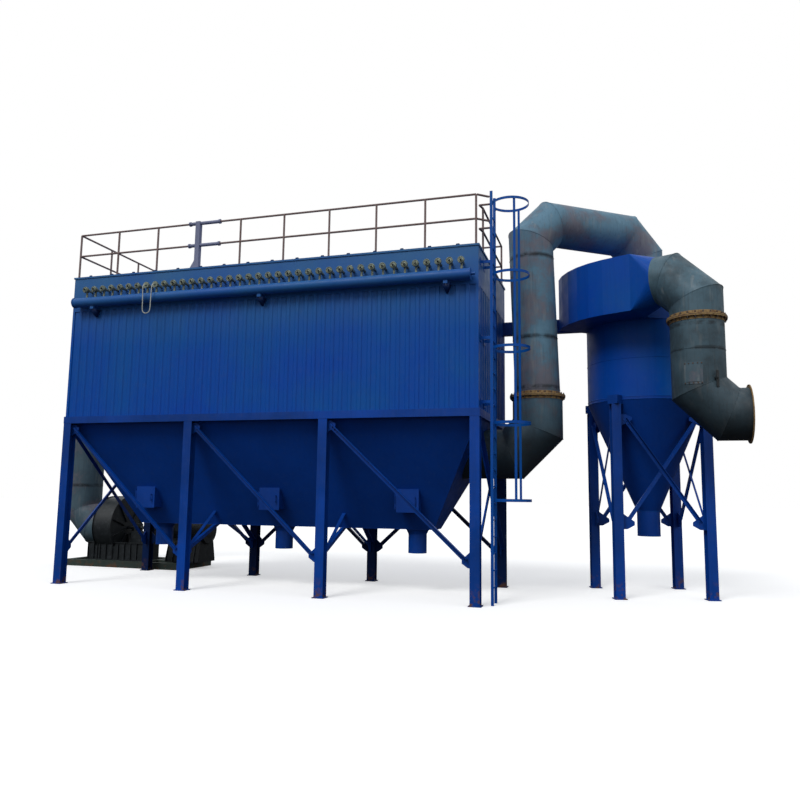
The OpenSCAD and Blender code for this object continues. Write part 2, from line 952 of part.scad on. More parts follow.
in_dir = [cos(inlet_az), sin(inlet_az), 0];
in_out = [cos(inlet_az - 90), sin(inlet_az - 90), 0];
in_axis = [cyc_x, cyc_y, 0] + in_out * (cyc_r + inlet_w / 2);
feed_top = in_axis + in_dir * feed_s + [0, 0, feed_z];
feed_path = [
    in_axis + in_dir * (inlet_tip + slip) + [0, 0, feed_z],
    feed_top - feed_a * in_dir,
    feed_top - [0, 0, feed_a],
    [feed_top.x, feed_top.y, feed_low + feed_a],
    [feed_top.x + feed_a, feed_top.y, feed_low],
    [feed_top.x + feed_out, feed_top.y, feed_low]
];

module feed_duct() {
    color(duct_grey)
        mitred_duct(feed_path, feed_d);
}

clean_a = clean_d / 2;
clean_path = [
    [fan_x - casing_w / 2, fan_y, shaft_z],
    [clean_x + clean_a, fan_y, shaft_z],
    [clean_x, fan_y, shaft_z + clean_a],
    [clean_x, fan_y, clean_z - clean_a],
    [clean_x + clean_a, fan_y, clean_z],
    [clean_wall_x - clean_a, fan_y, clean_z],
    [clean_wall_x, fan_y - clean_a, clean_z],
    [clean_wall_x, depth + over, clean_z]
];

module clean_air_duct() {
    color(duct_grey)
        mitred_duct(clean_path, clean_d);
}

// Flange ring round a duct, with the axis along Z
module flange(d, h, r) {
    difference() {
        cylinder(h = h, r = r, $fn = 48);
        translate([0, 0, -1])
            cylinder(h = h + 2, r = d / 2 + slip, $fn = 48);
    }
}

module duct_flanges() {
    color(rust_grey) {
        translate([riser_x, riser_y, flange_z])
            flange(crossover_d, flange_h, inlet_a + flange_w);
        translate([feed_top.x, feed_top.y, feed_flange_z])
            flange(feed_d, flange_h, feed_a + flange_w);
        translate([feed_top.x + feed_out - end_flange_h, feed_top.y, feed_low])
            rotate([0, 90, 0])
                difference() {
                    flange(feed_d, end_flange_h, feed_a + flange_w);
                    for (k = [0 : end_bolts - 1])
                        rotate([0, 0, (k + 0.5) * 360 / end_bolts])
                            translate([feed_d / 2 + flange_w / 2 + 2, 0, -1])
                                cylinder(h = end_flange_h + 2, d = end_bolt_d, $fn = 20);
                }
        difference() {
            translate([clean_wall_x - 560, depth + over, clean_z - clean_d / 2 - 40])
                cube([1120, 15, clean_d + 50]);
            translate([clean_wall_x, depth + over - 1, clean_z])
                rotate([-90, 0, 0])
                    cylinder(h = 20, r = clean_d / 2 + slip, $fn = 48);
        }
    }
}

// Cyclone pre-separator
module cyclone_at() {
    translate([cyc_x, cyc_y, 0])
        children();
}

module cyclone_barrel() {
    color(house_blue)
        cyclone_at()
            translate([0, 0, cone_z])
                difference() {
                    cylinder(h = scroll_z - cone_z, r = cyc_r, $fn = 64);
                    translate([0, 0, -1])
                        cylinder(h = scroll_z - cone_z + 2, r = cyc_r - cyc_t, $fn = 64);
                }
}

module cyclone_cone() {
    t = cyc_t;
    color(hopper_blue)
        cyclone_at()
            rotate_extrude($fn = 64)
                polygon([[cone_r - t, cyc_spout_z], [cone_r, cyc_spout_z], [cone_r, cone_low],
                    [cyc_r, cone_z - cone_rim], [cyc_r, cone_z], [cyc_r - t, cone_z],
                    [cyc_r - t, cone_z - cone_rim + 5], [cone_r - t, cone_low + 5]]);
}

// Outline of the scroll, drawn in by a wall thickness: a straight inlet along +X at the
// front, a spiral over a share of a turn with a flat end, then round on the barrel
wrap = 50;
wrap_end = 62;
barrel_end = 300;
spiral_fall = 470;
function polar(r, a) = r * [cos(-90 - a), sin(-90 - a)];
function spiral_r(a) = cyc_r + inlet_w * (1 - a / spiral_fall);
function spiral(in) = concat(
    [for (a = [0 : 10 : wrap - 10]) polar(spiral_r(a) - in, a)],
    [polar(spiral_r(wrap) - in, wrap - in / 30)],
    [for (a = [wrap_end : 7 : barrel_end]) polar(cyc_r - in, a)]);
scroll_outside = concat([[inlet_end, -cyc_r - inlet_w]], spiral(0), [[inlet_end, -cyc_r]]);
scroll_inside = concat([[inlet_end + 1, -cyc_r - inlet_w + cyc_t]], spiral(cyc_t),
    [[inlet_end - cyc_t, -cyc_r + 5], [inlet_end - cyc_t, -cyc_r - cyc_t],
        [inlet_end + 1, -cyc_r - cyc_t]]);

module cyclone_scroll() {
    t = cyc_t;
    color(house_blue)
        cyclone_at()
            translate([0, 0, scroll_z])
                rotate([0, 0, inlet_az])
                    difference() {
                        linear_extrude(scroll_h)
                            polygon(scroll_outside);
                        translate([0, 0, t])
                            linear_extrude(scroll_h - 2 * t)
                                polygon(scroll_inside);
                        translate([0, 0, -1])
                            cylinder(h = t + 2, r = cyc_r - t, $fn = 64);
                        translate([0, 0, scroll_h - t - 1])
                            cylinder(h = t + 2, r = crossover_d / 2 - duct_t, $fn = 48);
                    }
}

// Square end of the transition at the scroll, round end at the feed duct
module transition_form(in) {
    hull() {
        translate([inlet_end, -cyc_r - inlet_w + in, scroll_z + in])
            cube([1, inlet_w - 2 * in, scroll_h - 2 * in]);
        translate([inlet_tip - 1, -cyc_r - inlet_w / 2, feed_z])
            rotate([0, 90, 0])
                cylinder(h = 1, r = feed_d / 2 - in, $fn = duct_sides);
    }
}

module inlet_transition() {
    e = 1;
    color(house_blue)
        cyclone_at()
            rotate([0, 0, inlet_az])
                difference() {
                    transition_form(0);
                    transition_form(duct_t);
                    translate([inlet_end - e, -cyc_r - inlet_w + duct_t, scroll_z + duct_t])
                        cube([1.5 * e, inlet_w - 2 * duct_t, scroll_h - 2 * duct_t]);
                    translate([inlet_tip - e / 2, -cyc_r - inlet_w / 2, feed_z])
                        rotate([0, 90, 0])
                            cylinder(h = e, r = feed_d / 2 - duct_t, $fn = duct_sides);
                }
}

module cyclone_legs() {
    color(frame_blue)
        cyclone_at()
            rotate([0, 0, cyc_turn])
                for (k = [0 : 3])
                    rotate([0, 0, 90 * k]) {
                        translate([leg_half, leg_half, 0])
                            rotate([0, 0, -90 * k])
                                column(leg_top);
                        difference() {
                            rotate([0, 0, 45])
                                translate([cyc_r - bracket_root, -bracket_w / 2, leg_top])
                                    cube([leg_half * sqrt(2) + bracket_end + bracket_root - cyc_r,
                                        bracket_w, bracket_h]);
                            translate([0, 0, leg_top - 1])
                                cylinder(h = bracket_h + 2, r = cyc_r + slip, $fn = 64);
                        }
                    }
}

module cyclone_braces() {
    color(frame_blue)
        cyclone_at()
            rotate([0, 0, cyc_turn])
                for (k = [0 : 3])
                    rotate([0, 0, 90 * k])
                        translate([0, -leg_half, 0])
                            cyclone_cross(leg_half - (k % 2 == 0 ? web_t : col_w) / 2);
}

// One crossed pair between two cyclone legs, with its gussets, half to each side
module cyclone_cross(half) {
    low = bar_low;
    high = bar_high;
    tip = leg_tip;
    reach = half - tip + gusset_grip;
    w = 80;
    for (s = [0, 1])
        mirror([s, 0, 0])
            translate([-half, 0, 0]) {
                translate([0, 0, low])
                    gusset(reach, low_gusset);
                translate([0, 0, high])
                    mirror([0, 0, 1])
                        gusset(reach, top_gusset);
            }
    angle_bar([-tip, 0, low], [tip, 0, high], [0, 1, 0], w, w / 2);
    angle_bar([tip, 0, low], [-tip, 0, high], [0, -1, 0], w, w);
    crossing_piece([0, 0, (low + high) / 2], [0, 1, 0]);
}

module tie_beam() {
    color(frame_blue)
        difference() {
            translate([length + over, depth - 200, scroll_z])
                cube([cyc_x - length - over, 150, 320]);
            cyclone_at()
                rotate([0, 0, inlet_az])
                    translate([0, 0, scroll_z - 1])
                        linear_extrude(scroll_h)
                            polygon(scroll_outside);
        }
}

// Fan set
module fan_casing() {
    out_low = 280;
    support_h = 460;
    wall = 20;
    lip = 30;
    rim = concat([[outlet_y, casing_r], [0, casing_r]],
        [for (a = [15 : 15 : 300]) (casing_r - a * 0.9) * [-sin(a), cos(a)]],
        [[outlet_y, out_low]]);
    color(fan_black)
        translate([fan_x - casing_w / 2, fan_y, 0]) {
            difference() {
                union() {
                    translate([0, 0, shaft_z])
                        rotate([90, 0, 90])
                            linear_extrude(casing_w)
                                polygon(rim);
                    translate([-wall, outlet_y - lip, shaft_z + out_low - lip])
                        cube([casing_w + 2 * wall, 2 * lip, casing_r - out_low + 2 * lip]);
                }
                translate([wall, outlet_y - 350, shaft_z + out_low + lip])
                    cube([casing_w - 2 * wall, 500, casing_r - out_low - 2 * lip]);
            }
            for (x = [wall, casing_w - 3 * wall])
                translate([x, -620, skid_h])
                    cube([2 * wall, 1240, support_h]);
        }
}

module fan_bearings() {
    color(fan_black)
        translate([fan_x + casing_w / 2, fan_y, 0]) {
            translate([0, 0, shaft_z])
                rotate([0, 90, 0])
                    cylinder(h = motor_x - fan_x - casing_w / 2, r = 45, $fn = 24);
            translate([250, -200, skid_h])
                cube([700, 400, shaft_z - skid_h - 110]);
            for (x = [300, 780])
                translate([x, -130, shaft_z - 115])
                    cube([120, 260, 230]);
        }
}

module fan_motor() {
    color(fan_black) {
        translate([motor_x, fan_y, shaft_z])
            rotate([0, 90, 0])
                cylinder(h = motor_end - motor_x, r = motor_r, $fn = 40);
        translate([motor_x + 150, fan_y - 330, skid_h])
            cube([700, 660, shaft_z - skid_h - 250]);
    }
}

module fan_skid() {
    w = 160;
    color("#3c4a44")
        union() {
            for (y = [skid_front, (skid_front + skid_back - w) / 2, skid_back - w])
                translate([skid_x, y, 0])
                    cube([skid_end - skid_x, w, skid_h]);
            for (x = [skid_x, fan_x - 400, fan_x + 400, -500, skid_end - w])
                translate([x, skid_front, 0])
                    cube([w, skid_back - skid_front, skid_h]);
        }
}

module valve_hose() {
    color("#b9bdb4")
        swept_rod(hose_route, hose_r, 8);
}

front_columns();
rear_columns();
front_braces();
rear_braces();
end_braces();
knee_braces();
ring_beam();
front_wall();
rear_wall();
left_wall();
right_wall();
roof_sheet();
roof_lids();
front_rail();
rear_rail();
left_rail();
right_rail();
hoist_mast();
air_header();
pulse_valves();
hopper_front();
hopper_rear();
hopper_left();
hopper_right();
hopper_floor();
dust_outlets();
door_frames();
door_1();
door_2();
door_3();
ladder();
ladder_cage();
cage_straps();
crossover_duct();
duct_flanges();
tie_beam();
cyclone_barrel();
cyclone_cone();
cyclone_scroll();
inlet_transition();
cyclone_legs();
cyclone_braces();
feed_duct();
clean_air_duct();
fan_casing();
fan_bearings();
fan_motor();
fan_skid();
valve_hose();
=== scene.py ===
import math

import bmesh
import bpy
from mathutils import Matrix, Vector


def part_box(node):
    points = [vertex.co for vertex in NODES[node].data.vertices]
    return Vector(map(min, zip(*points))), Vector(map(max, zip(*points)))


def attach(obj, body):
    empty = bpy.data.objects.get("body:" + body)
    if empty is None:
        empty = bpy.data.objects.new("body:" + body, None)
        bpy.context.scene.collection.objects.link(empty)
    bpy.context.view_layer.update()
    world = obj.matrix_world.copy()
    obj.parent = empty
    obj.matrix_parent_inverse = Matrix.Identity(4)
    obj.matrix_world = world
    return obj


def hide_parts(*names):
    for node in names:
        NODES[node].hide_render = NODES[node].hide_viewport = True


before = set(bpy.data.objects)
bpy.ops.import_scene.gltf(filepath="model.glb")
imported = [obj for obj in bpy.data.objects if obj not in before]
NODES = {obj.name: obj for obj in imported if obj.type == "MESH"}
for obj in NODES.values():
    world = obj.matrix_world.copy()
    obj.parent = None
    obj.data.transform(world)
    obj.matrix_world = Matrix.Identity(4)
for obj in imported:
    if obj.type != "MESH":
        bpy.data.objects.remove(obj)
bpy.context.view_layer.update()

bl_info = {
    "name": "Baghouse dust collector",
    "version": (1, 0, 0),
    "blender": (4, 5, 0),
    "location": "View3D > Sidebar > Dust collector",
    "description": "Dresses the packed dust collector with its paint, welds, bolts and fittings",
    "category": "Object",
}

PLANT = "plant"
ACROSS, UP = Vector((1, 0, 0)), Vector((0, 0, 1))

# Sizes of the steelwork, in metres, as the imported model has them
BAY = 3.25
LENGTH = 3 * BAY
DEPTH = 3.3
RING_Z, ROOF_Z = 3.7, 7.25
# Height above which the house paint turns paler: painted sky sheen on the upper walls, with some
# sun chalking
SHEEN_AND_CHALK_Z = 5.5
HOUSE_FACE = -0.08
BRACE_TOP = RING_Z - 0.14
BRACE_LOW = 0.86
HOP_LOW, HOP_END, HOP_FLOOR_HALF = 1.385, 1.17, 0.32
HOP_LIP_X, HOP_LIP_Y = 0.025, 0.105
HOP_END_RUN = (HOP_END + HOP_LIP_X) / (RING_Z - HOP_LOW)
CYC_X, CYC_Y, CYC_TURN = LENGTH + 3.325, DEPTH + 0.1, math.radians(16.5)
CYC_R, CONE_Z, CONE_LOW, CONE_R = 1.28, 4.31, 1.83, 0.25
LEG_HALF = 0.98
# Base plates: their thickness, and how far their anchors are from the middle
BASE_T, ANCHOR_X, ANCHOR_Y = 0.02, 0.06, 0.05
SCROLL_Z, SCROLL_H, INLET_W = 6.0, 1.22, 0.75
INLET_AZ = math.radians(-25)
RISER_X, RISER_Y = LENGTH + 1.05, DEPTH / 2
RISER_TOP_X, RISER_FOOT_Z, FLANGE_Z = RISER_X - 0.11, 4.4, 4.25
INLET_D, CROSS_D, FEED_D, CLEAN_D = 1.07, 0.97, 1.03, 0.96
DUCT_T = 0.012
# Heights of the seams between the courses of the upright ducts
CROSS_SEAMS, FEED_SEAM, CLEAN_SEAMS = (5.54, 7.35), 5.03, (2.3, 3.8, 5.3)
SEAM_SIDES = 72
# A duct's flange pair: its thickness, the bolts round it and the height of its angle rings
PAIR_T, PAIR_BOLTS, ANGLE_H = 0.05, 24, 0.06
RUN_Z, INLET_Z = 8.25, 3.035
FEED_REACH, FEED_LOW, FEED_FLANGE_Z = 1.832, 3.765, 5.66
FAN_X, FAN_Y, SHAFT_Z = -1.79, DEPTH + 1.1, 1.08
CASING_W, CASING_R = 0.6, 0.87
# The volute's radius falls by this much a degree, as far as this many degrees
VOLUTE_FALL, VOLUTE_END = 0.0009, 300
CLEAN_X, CLEAN_WALL_X = -3.075, 1.0
CLEAN_Z = ROOF_Z - 0.04 - CLEAN_D / 2 - 0.015
HEADER_Y, HEADER_Z, HEADER_R = -0.258, 6.565, 0.112
VALVES, VALVE_X = 39, 0.45
VALVE_PITCH = (LENGTH - 0.055 - 0.115 - 0.513) / (VALVES - 1)
CAP_Y, CAP_Z, CAP_R = HEADER_Y - 0.08, HEADER_Z + 0.285, 0.072
WASHER_T, FIN_T = 0.004, 0.006

# The camera as solved from the photo: its place, and its yaw, pitch and roll in degrees
CAMERA_AT, CAMERA_TURN = (12.545, -14.478, 2.109), (16.805, 7.371, 0.730)

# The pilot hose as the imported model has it: half of its points, mirrored at its lowest
HOSE_VALVES = (7, 8)
HOSE_A, HOSE_B = (VALVE_X + i * VALVE_PITCH for i in HOSE_VALVES)
HOSE_MID = (HOSE_A + HOSE_B) / 2
HOSE_D, HOSE_LENGTH, HOSE_SEAT = 0.022, 1.638, CAP_Y - 0.0003
HOSE_DROP = [
    (HOSE_A, HOSE_SEAT, CAP_Z), (HOSE_A, -0.352, CAP_Z), (HOSE_A, -0.386, 6.843),
    (HOSE_A, -0.414, 6.824), (HOSE_A + 0.001, -0.433, 6.796),
    (HOSE_A + 0.002, -0.440, 6.762), (HOSE_A + 0.008, -0.440, 6.600),
    (HOSE_A + 0.015, -0.440, 6.420), (HOSE_MID - 0.100, -0.440, 6.250),
    (HOSE_MID - 0.087, -0.440, 6.200), (HOSE_MID - 0.050, -0.440, 6.163),
]
HOSE_POINTS = [*HOSE_DROP, (HOSE_MID, -0.440, 6.150),
               *((2 * HOSE_MID - x, y, z) for x, y, z in reversed(HOSE_DROP))]


def rgb(code):
    """Linear colour of an sRGB hex value."""
    parts = [int(code[i:i + 2], 16) / 255 for i in (1, 3, 5)]
    return [c / 12.92 if c <= 0.04045 else ((c + 0.055) / 1.055) ** 2.4 for c in parts]


def rgba(colour):
    return (*colour, 1.0)


def dimmed(colour, share):
    return [c * share for c in colour]


def paint(name, code, description):
    """A colour that the panel shows."""
    return bpy.props.FloatVectorProperty(name=name, description=description, subtype="COLOR",
                                         min=0, max=1, default=rgb(code))


class PaintSettings(bpy.types.PropertyGroup):
    house: paint("House enamel", "#0449ad", "Blue of the walls, header and cyclone barrel")
    house_pale: paint("Weathered enamel", "#0a56a5",
                      "Blue where sun and rain have dulled the walls")
    steelwork: paint("Steelwork enamel", "#053a88", "Blue of the columns and braces")
    # Painted shade: a darker copy of the steelwork blue for the rear steel under the hopper
    shaded_steel: paint("Shadowed steelwork", "#07285c", "Blue of the rear columns and braces, darkened as painted shade")
    hopper: paint("Hopper enamel", "#0b45a2", "Dark blue of the hopper and cone plates")
    duct: paint("Duct primer", "#4d6470", "Grey-blue primer of the clean air duct")
    duct_pale: paint("Pale duct primer", "#61889e", "Bleached primer of the crossover duct")
    duct_dark: paint("Dark duct primer", "#54717f", "Primer of the feed duct, darkened low down as painted shade with some soot")
    # Lilac-brown stain, which also paints the ducts' broad pale reflections
    duct_stain_and_sheen: paint("Duct stain", "#756e78", "Brown stain on the ducts")
    rail: paint("Rail primer", "#8a7775", "Faded red primer of the roof rails")
    mast: paint("Mast paint", "#868cab", "Chalky lilac-grey of the hoist mast")
    rust: paint("Rust", "#6a4a33", "Rust of flanges, specks and scabs")
    fan: paint("Fan paint", "#1a1f22", "Near-black paint of the fan and its motor")
    skid: paint("Skid paint", "#38453f", "Green-grey paint of the fan's skid")
    casting: paint("Valve casting", "#8c9687", "Dull grey-green of the pulse valves")
    yard: paint("Yard", "#4a4846", "Dark ground that throws light back on the plant")
    floor: paint("Floor", "#f4f4f2", "Pale floor that the plant stands on")


class SizeSettings(bpy.types.PropertyGroup):
    anchor_flats: bpy.props.FloatProperty(
        name="Anchor nut", description="Width across the flats of an anchor nut",
        unit="LENGTH", min=0.01, max=0.06, default=0.030)
    brace_flats: bpy.props.FloatProperty(
        name="Brace bolt", description="Width across the flats of a brace bolt",
        unit="LENGTH", min=0.01, max=0.06, default=0.026)
    weld_r: bpy.props.FloatProperty(
        name="Weld bead", description="Half the width of a weld bead",
        unit="LENGTH", min=0.002, max=0.02, default=0.007)
    duct_sides: bpy.props.IntProperty(
        name="Duct facets", description="Sides round a rolled duct", min=24, max=160,
        default=88)
    lens: bpy.props.FloatProperty(
        name="Lens", description="Focal length of the camera", subtype="DISTANCE_CAMERA",
        unit="CAMERA", min=10, max=200, default=33.24)
    sun: bpy.props.FloatProperty(
        name="Key lamp", description="Strength of the soft key lamp", min=0, max=10,
        default=1.3)
    sky: bpy.props.FloatProperty(
        name="Sky", description="Strength of the even light from all round", min=0,
        max=4, default=0.5)


# Small tools for nodes, meshes and pieces

def add(tree, kind, inputs=None, **settings):
    """A new node with its settings, and its inputs set to values or linked to sockets."""
    node = tree.nodes.new(kind)
    for key, value in settings.items():
        setattr(node, key, value)
    for key, value in (inputs or {}).items():
        if isinstance(value, bpy.types.NodeSocket):
            tree.links.new(value, node.inputs[key])
        else:
            node.inputs[key].default_value = value
    return node


def made(tree, kind, inputs=None, **settings):
    """First output of a new node."""
    return add(tree, kind, inputs, **settings).outputs[0]


def new_material(name):
    material = bpy.data.materials.new(name)
    material.use_nodes = True
    material.node_tree.nodes.clear()
    return material, material.node_tree


def blend_colours(tree, factor, first, second):
    """Colour output of a mix node, where each side is a colour or an output."""
    return add(tree, "ShaderNodeMix", {0: factor, 6: first, 7: second},
               data_type="RGBA").outputs[2]


def ranged(tree, value, low, high, to_low=0.0, to_high=1.0):
    """Value, moved from low..high to to_low..to_high and held there."""
    return made(tree, "ShaderNodeMapRange",
                {0: value, 1: low, 2: high, 3: to_low, 4: to_high})


def product(tree, first, second, how="MULTIPLY"):
    return made(tree, "ShaderNodeMath", {0: first, 1: second}, operation=how)


def noise(tree, place, scale, detail=3.0, rough=0.55, stretch=None):
    """Noise of a given number of features a metre, drawn out along an axis if asked."""
    if stretch:
        place = made(tree, "ShaderNodeMapping", {0: place, 3: stretch})
    return made(tree, "ShaderNodeTexNoise", {"Scale": scale, "Detail": detail,
                                             "Roughness": rough, "Vector": place})


def new_piece(name, points, faces, edges=()):
    mesh = bpy.data.meshes.new(name)
    mesh.from_pydata(points, edges, faces)
    mesh.update()
    if faces:
        mesh.polygons.foreach_set("use_smooth", [True] * len(mesh.polygons))
    piece = bpy.data.objects.new(name, mesh)
    bpy.context.scene.collection.objects.link(piece)
    return piece


def finish_piece(piece, material):
    """Gives the piece its material, if one is given, and lets it ride on the plant."""
    if material:
        piece.data.materials.clear()
        piece.data.materials.append(material)
    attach(piece, PLANT)
    return piece


def sharp_by_angle(piece, degrees):
    """Marks the edges between faces that meet at more than an angle, so shading breaks."""
    mesh = piece.data
    limit = math.radians(degrees)
    sides = {}
    for face in mesh.polygons:
        for key in face.edge_keys:
            sides.setdefault(key, []).append(face.normal.copy())
    for edge in mesh.edges:
        normals = sides.get(edge.key, [])
        edge.use_edge_sharp = len(normals) != 2 or normals[0].angle(normals[1], 0) > limit


def joined(name, pieces):
    """One object from several, with the meshes in place."""
    points, faces, start = [], [], 0
    for more_points, more_faces in pieces:
        points += more_points
        faces += [[i + start for i in face] for face in more_faces]
        start += len(more_points)
    piece = new_piece(name, points, faces)
    shell = bmesh.new()
    shell.from_mesh(piece.data)
    bmesh.ops.recalc_face_normals(shell, faces=shell.faces)
    shell.to_mesh(piece.data)
    shell.free()
    return piece


def fitted(name, parts, finish, degrees=None):
    """A piece of the plant joined from parts and painted, sharp where its faces meet at more
    than the degrees."""
    piece = joined(name, parts)
    if degrees:
        sharp_by_angle(piece, degrees)
    return finish_piece(piece, FINISHES[finish])


def circle(steps, first=0.0):
    """Cosine and sine of equal steps round a circle."""
    for k in range(steps):
        a = 2 * math.pi * (k + first) / steps
        yield math.cos(a), math.sin(a)


def lathe(profile, sides, at=(0, 0, 0), axis=(0, 0, 1), closed_ring=False):
    """Points and faces of a profile of (radius, height) turned round an axis at a place."""
    turn = Vector((0, 0, 1)).rotation_difference(Vector(axis)).to_matrix()
    at = Vector(at)
    points, faces = [], []
    for r, h in profile:
        points += [tuple(at + turn @ Vector((r * c, r * s, h))) for c, s in circle(sides)]
    rows = len(profile)
    for i in range(rows if closed_ring else rows - 1):
        j = (i + 1) % rows
        for k in range(sides):
            m = (k + 1) % sides
            faces.append([i * sides + k, i * sides + m, j * sides + m, j * sides + k])
    if not closed_ring:
        faces.append(list(range(sides - 1, -1, -1)))
        faces.append([(rows - 1) * sides + k for k in range(sides)])
    return points, faces


def tube(inner, outer, length, sides, at, axis=(0, 0, 1)):
    """Points and faces of a ring with a rectangular section."""
    return lathe([(inner, 0), (outer, 0), (outer, length), (inner, length)], sides, at, axis,
                 closed_ring=True)


def turned(x, y, angle):
    c, s = math.cos(angle), math.sin(angle)
    return x * c - y * s, x * s + y * c


def block(low, high):
    """Points and faces of a solid between two level rectangles (x0, x1, y0, y1, z)."""
    points = [(x, y, r[4]) for r in (low, high)
              for x, y in ((r[0], r[2]), (r[1], r[2]), (r[1], r[3]), (r[0], r[3]))]
    faces = [[3, 2, 1, 0], [4, 5, 6, 7], [0, 1, 5, 4], [1, 2, 6, 5], [2, 3, 7, 6], [3, 0, 4, 7]]
    return points, faces


def bar(low, high):
    """Points and faces of a box between two corners."""
    sides = (low[0], high[0], low[1], high[1])
    return block((*sides, low[2]), (*sides, high[2]))


def swept(stations, profile):
    """Points and faces of a closed profile of (aside, out) carried along stations, each a
    (place, aside, out) of vectors."""
    points = [tuple(p + a * x + o * y) for p, a, o in stations for x, y in profile]
    n, last = len(profile), len(points) - len(profile)
    faces = [[i + j, i + (j + 1) % n, i + n + (j + 1) % n, i + n + j]
             for i in range(0, last, n) for j in range(n)]
    return points, faces + [list(range(n)), [last + j for j in range(n)]]


# Finishes

class Skin:
    """A material as it is built up on Object coordinates: a tone that layers cover."""

    def __init__(self, name, colour):
        self.material, self.tree = new_material(name)
        self.place = add(self.tree, "ShaderNodeTexCoord").outputs["Object"]
        self.height = add(self.tree, "ShaderNodeSeparateXYZ", {0: self.place}).outputs[2]
        self.tone = rgba(colour)

    def noise(self, scale, detail=3.0, rough=0.55, stretch=None):
        return noise(self.tree, self.place, scale, detail, rough, stretch)

    def patches(self, low, high, scale, detail, rough=0.55, stretch=None, to=(0.0, 1.0)):
        """Noise, moved from low..high to the two values of to and held there."""
        return ranged(self.tree, self.noise(scale, detail, rough, stretch), low, high, *to)

    def times(self, first, second, how="MULTIPLY"):
        return product(self.tree, first, second, how)

    def cover(self, mask, colour, share=None):
        """Lays a colour over the tone where the mask is, at a share of its strength."""
        if share is not None:
            mask = self.times(mask, share)
        self.tone = blend_colours(self.tree, mask, self.tone, rgba(colour))

    def bump(self, height, distance, below=None):
        """Relief of a height in metres, on top of the relief below it."""
        relief = {"Strength": 1.0, "Distance": distance, "Height": height}
        if below is not None:
            relief["Normal"] = below
        return made(self.tree, "ShaderNodeBump", relief)

    def shaded(self, rough, normal, **values):
        """The finished material, its other inputs named with _ for a space."""
        named = {key.replace("_", " "): value for key, value in values.items()}
        shader = made(self.tree, "ShaderNodeBsdfPrincipled", {
            "IOR": 1.5, "Base Color": self.tone, "Roughness": rough, "Normal": normal,
            **named})
        add(self.tree, "ShaderNodeOutputMaterial", {0: shader})
        return self.material


def painted_steel(name, colour, second, rust, gloss, grime=0.10, rust_high=0.0,
                  rust_share=0.10, dent=0.003, dent_scale=0.9, specular=0.3, sheen_and_chalk=0.0):
    """Alkyd enamel rolled on mild steel: two tones in soft clouds, rain streaks, dust, rust low
    down and in specks, the slight waves of thin welded sheet, and above the header a paler share
    that paints the sky's sheen on the upper walls, with some sun chalking."""
    skin = Skin(name, colour)
    skin.cover(skin.patches(0.38, 0.66, 0.45, 4), second)
    # Rain streaks about 60 mm wide and 1.5 m long
    skin.cover(skin.patches(0.50, 0.78, 1.0, 5, 0.6, (16, 16, 0.7)), dimmed(colour, 0.55), 0.3)
    # Paler towards the roof: a painted sky sheen on the upper walls, with some sun chalking
    sheen_and_chalk_mask = skin.times(ranged(skin.tree, skin.height, SHEEN_AND_CHALK_Z, ROOF_Z, 0.0, sheen_and_chalk),
                        skin.patches(0.35, 0.6, 0.5, 4, to=(0.6, 1.0)))
    skin.cover(sheen_and_chalk_mask, rgb("#4a7a99"))
    # Dust in patches of about 100 mm
    skin.cover(skin.patches(0.52, 0.80, 9, 6, 0.65), rgb("#5a6066"), grime)
    # Rust in specks of about 20 mm, and in wide scabs near the floor
    low = ranged(skin.tree, skin.height, 0.0, max(rust_high, 0.01), 1.0, 0.0)
    wide = skin.patches(0.50, 0.60, 6, 6, 0.7)
    eaten = skin.times(skin.times(wide, low), 1.0 if rust_high else 0.0)
    specks = skin.times(skin.patches(0.64, 0.70, 45, 5, 0.7), rust_share)
    worn = skin.times(specks, eaten, "MAXIMUM")
    skin.cover(worn, rust)
    rough = skin.patches(0.3, 0.75, 5, 5, to=(gloss - 0.06, gloss + 0.14))
    rough = skin.times(rough, skin.times(worn, 0.4), "ADD")
    waves = skin.bump(skin.noise(dent_scale, 2, 0.4), dent)
    peel = skin.bump(skin.noise(70, 3), 0.0004, waves)
    return skin.shaded(rough, peel, Specular_IOR_Level=specular)


def duct_skin(name, colour, stain_and_sheen, rust, soot, marks):
    """Zinc-rich primer on rolled 4 mm sheet, left outdoors: grey-blue with lilac-brown stains
    that also paint broad pale reflections, upright runs, dark bands of dirt along the seams at
    the given heights, darkening that deepens from the second given height down to the first as
    painted shade with some soot, and shallow dents."""
    skin = Skin(name, colour)
    skin.cover(skin.patches(0.38, 0.64, 1.3, 5, 0.6), dimmed(colour, 0.62))
    # Lilac-brown stain in patches of about 0.8 m, which also paints the broad pale reflections
    # on the ducts
    skin.cover(skin.patches(0.48, 0.62, 1.3, 6, 0.65), stain_and_sheen, 0.75)
    # Dark runs about 40 mm wide and pale ones about 100 mm wide
    skin.cover(skin.patches(0.52, 0.76, 1.0, 6, 0.65, (22, 22, 1.1)), rgb("#2c3133"), 0.40)
    skin.cover(skin.patches(0.56, 0.75, 1.0, 4, 0.5, (9, 9, 1.6)), rgb("#8b8f8e"), 0.45)
    skin.cover(skin.patches(0.62, 0.70, 30, 5, 0.7), rust, 0.6)
    # Darker towards the bottom: painted shade, with some soot
    dark = ranged(skin.tree, skin.height, *soot, 0.9, 0.0)
    ragged = skin.patches(0.35, 0.55, 7, 4, to=(0.3, 1.0))
    for z in marks:
        off = skin.times(skin.times(skin.height, z, "SUBTRACT"), 0.0, "ABSOLUTE")
        band = skin.times(ranged(skin.tree, off, 0.02, 0.07, 0.8, 0.0), ragged)
        dark = skin.times(dark, band, "MAXIMUM")
    skin.cover(dark, rgb("#1a2025"))
    rough = skin.patches(0.3, 0.7, 6, 5, to=(0.42, 0.70))
    dents = skin.bump(skin.noise(2.2, 2, 0.4), 0.012)
    grit = skin.bump(skin.noise(40, 4), 0.0012, dents)
    return skin.shaded(rough, grit, Specular_IOR_Level=0.35)


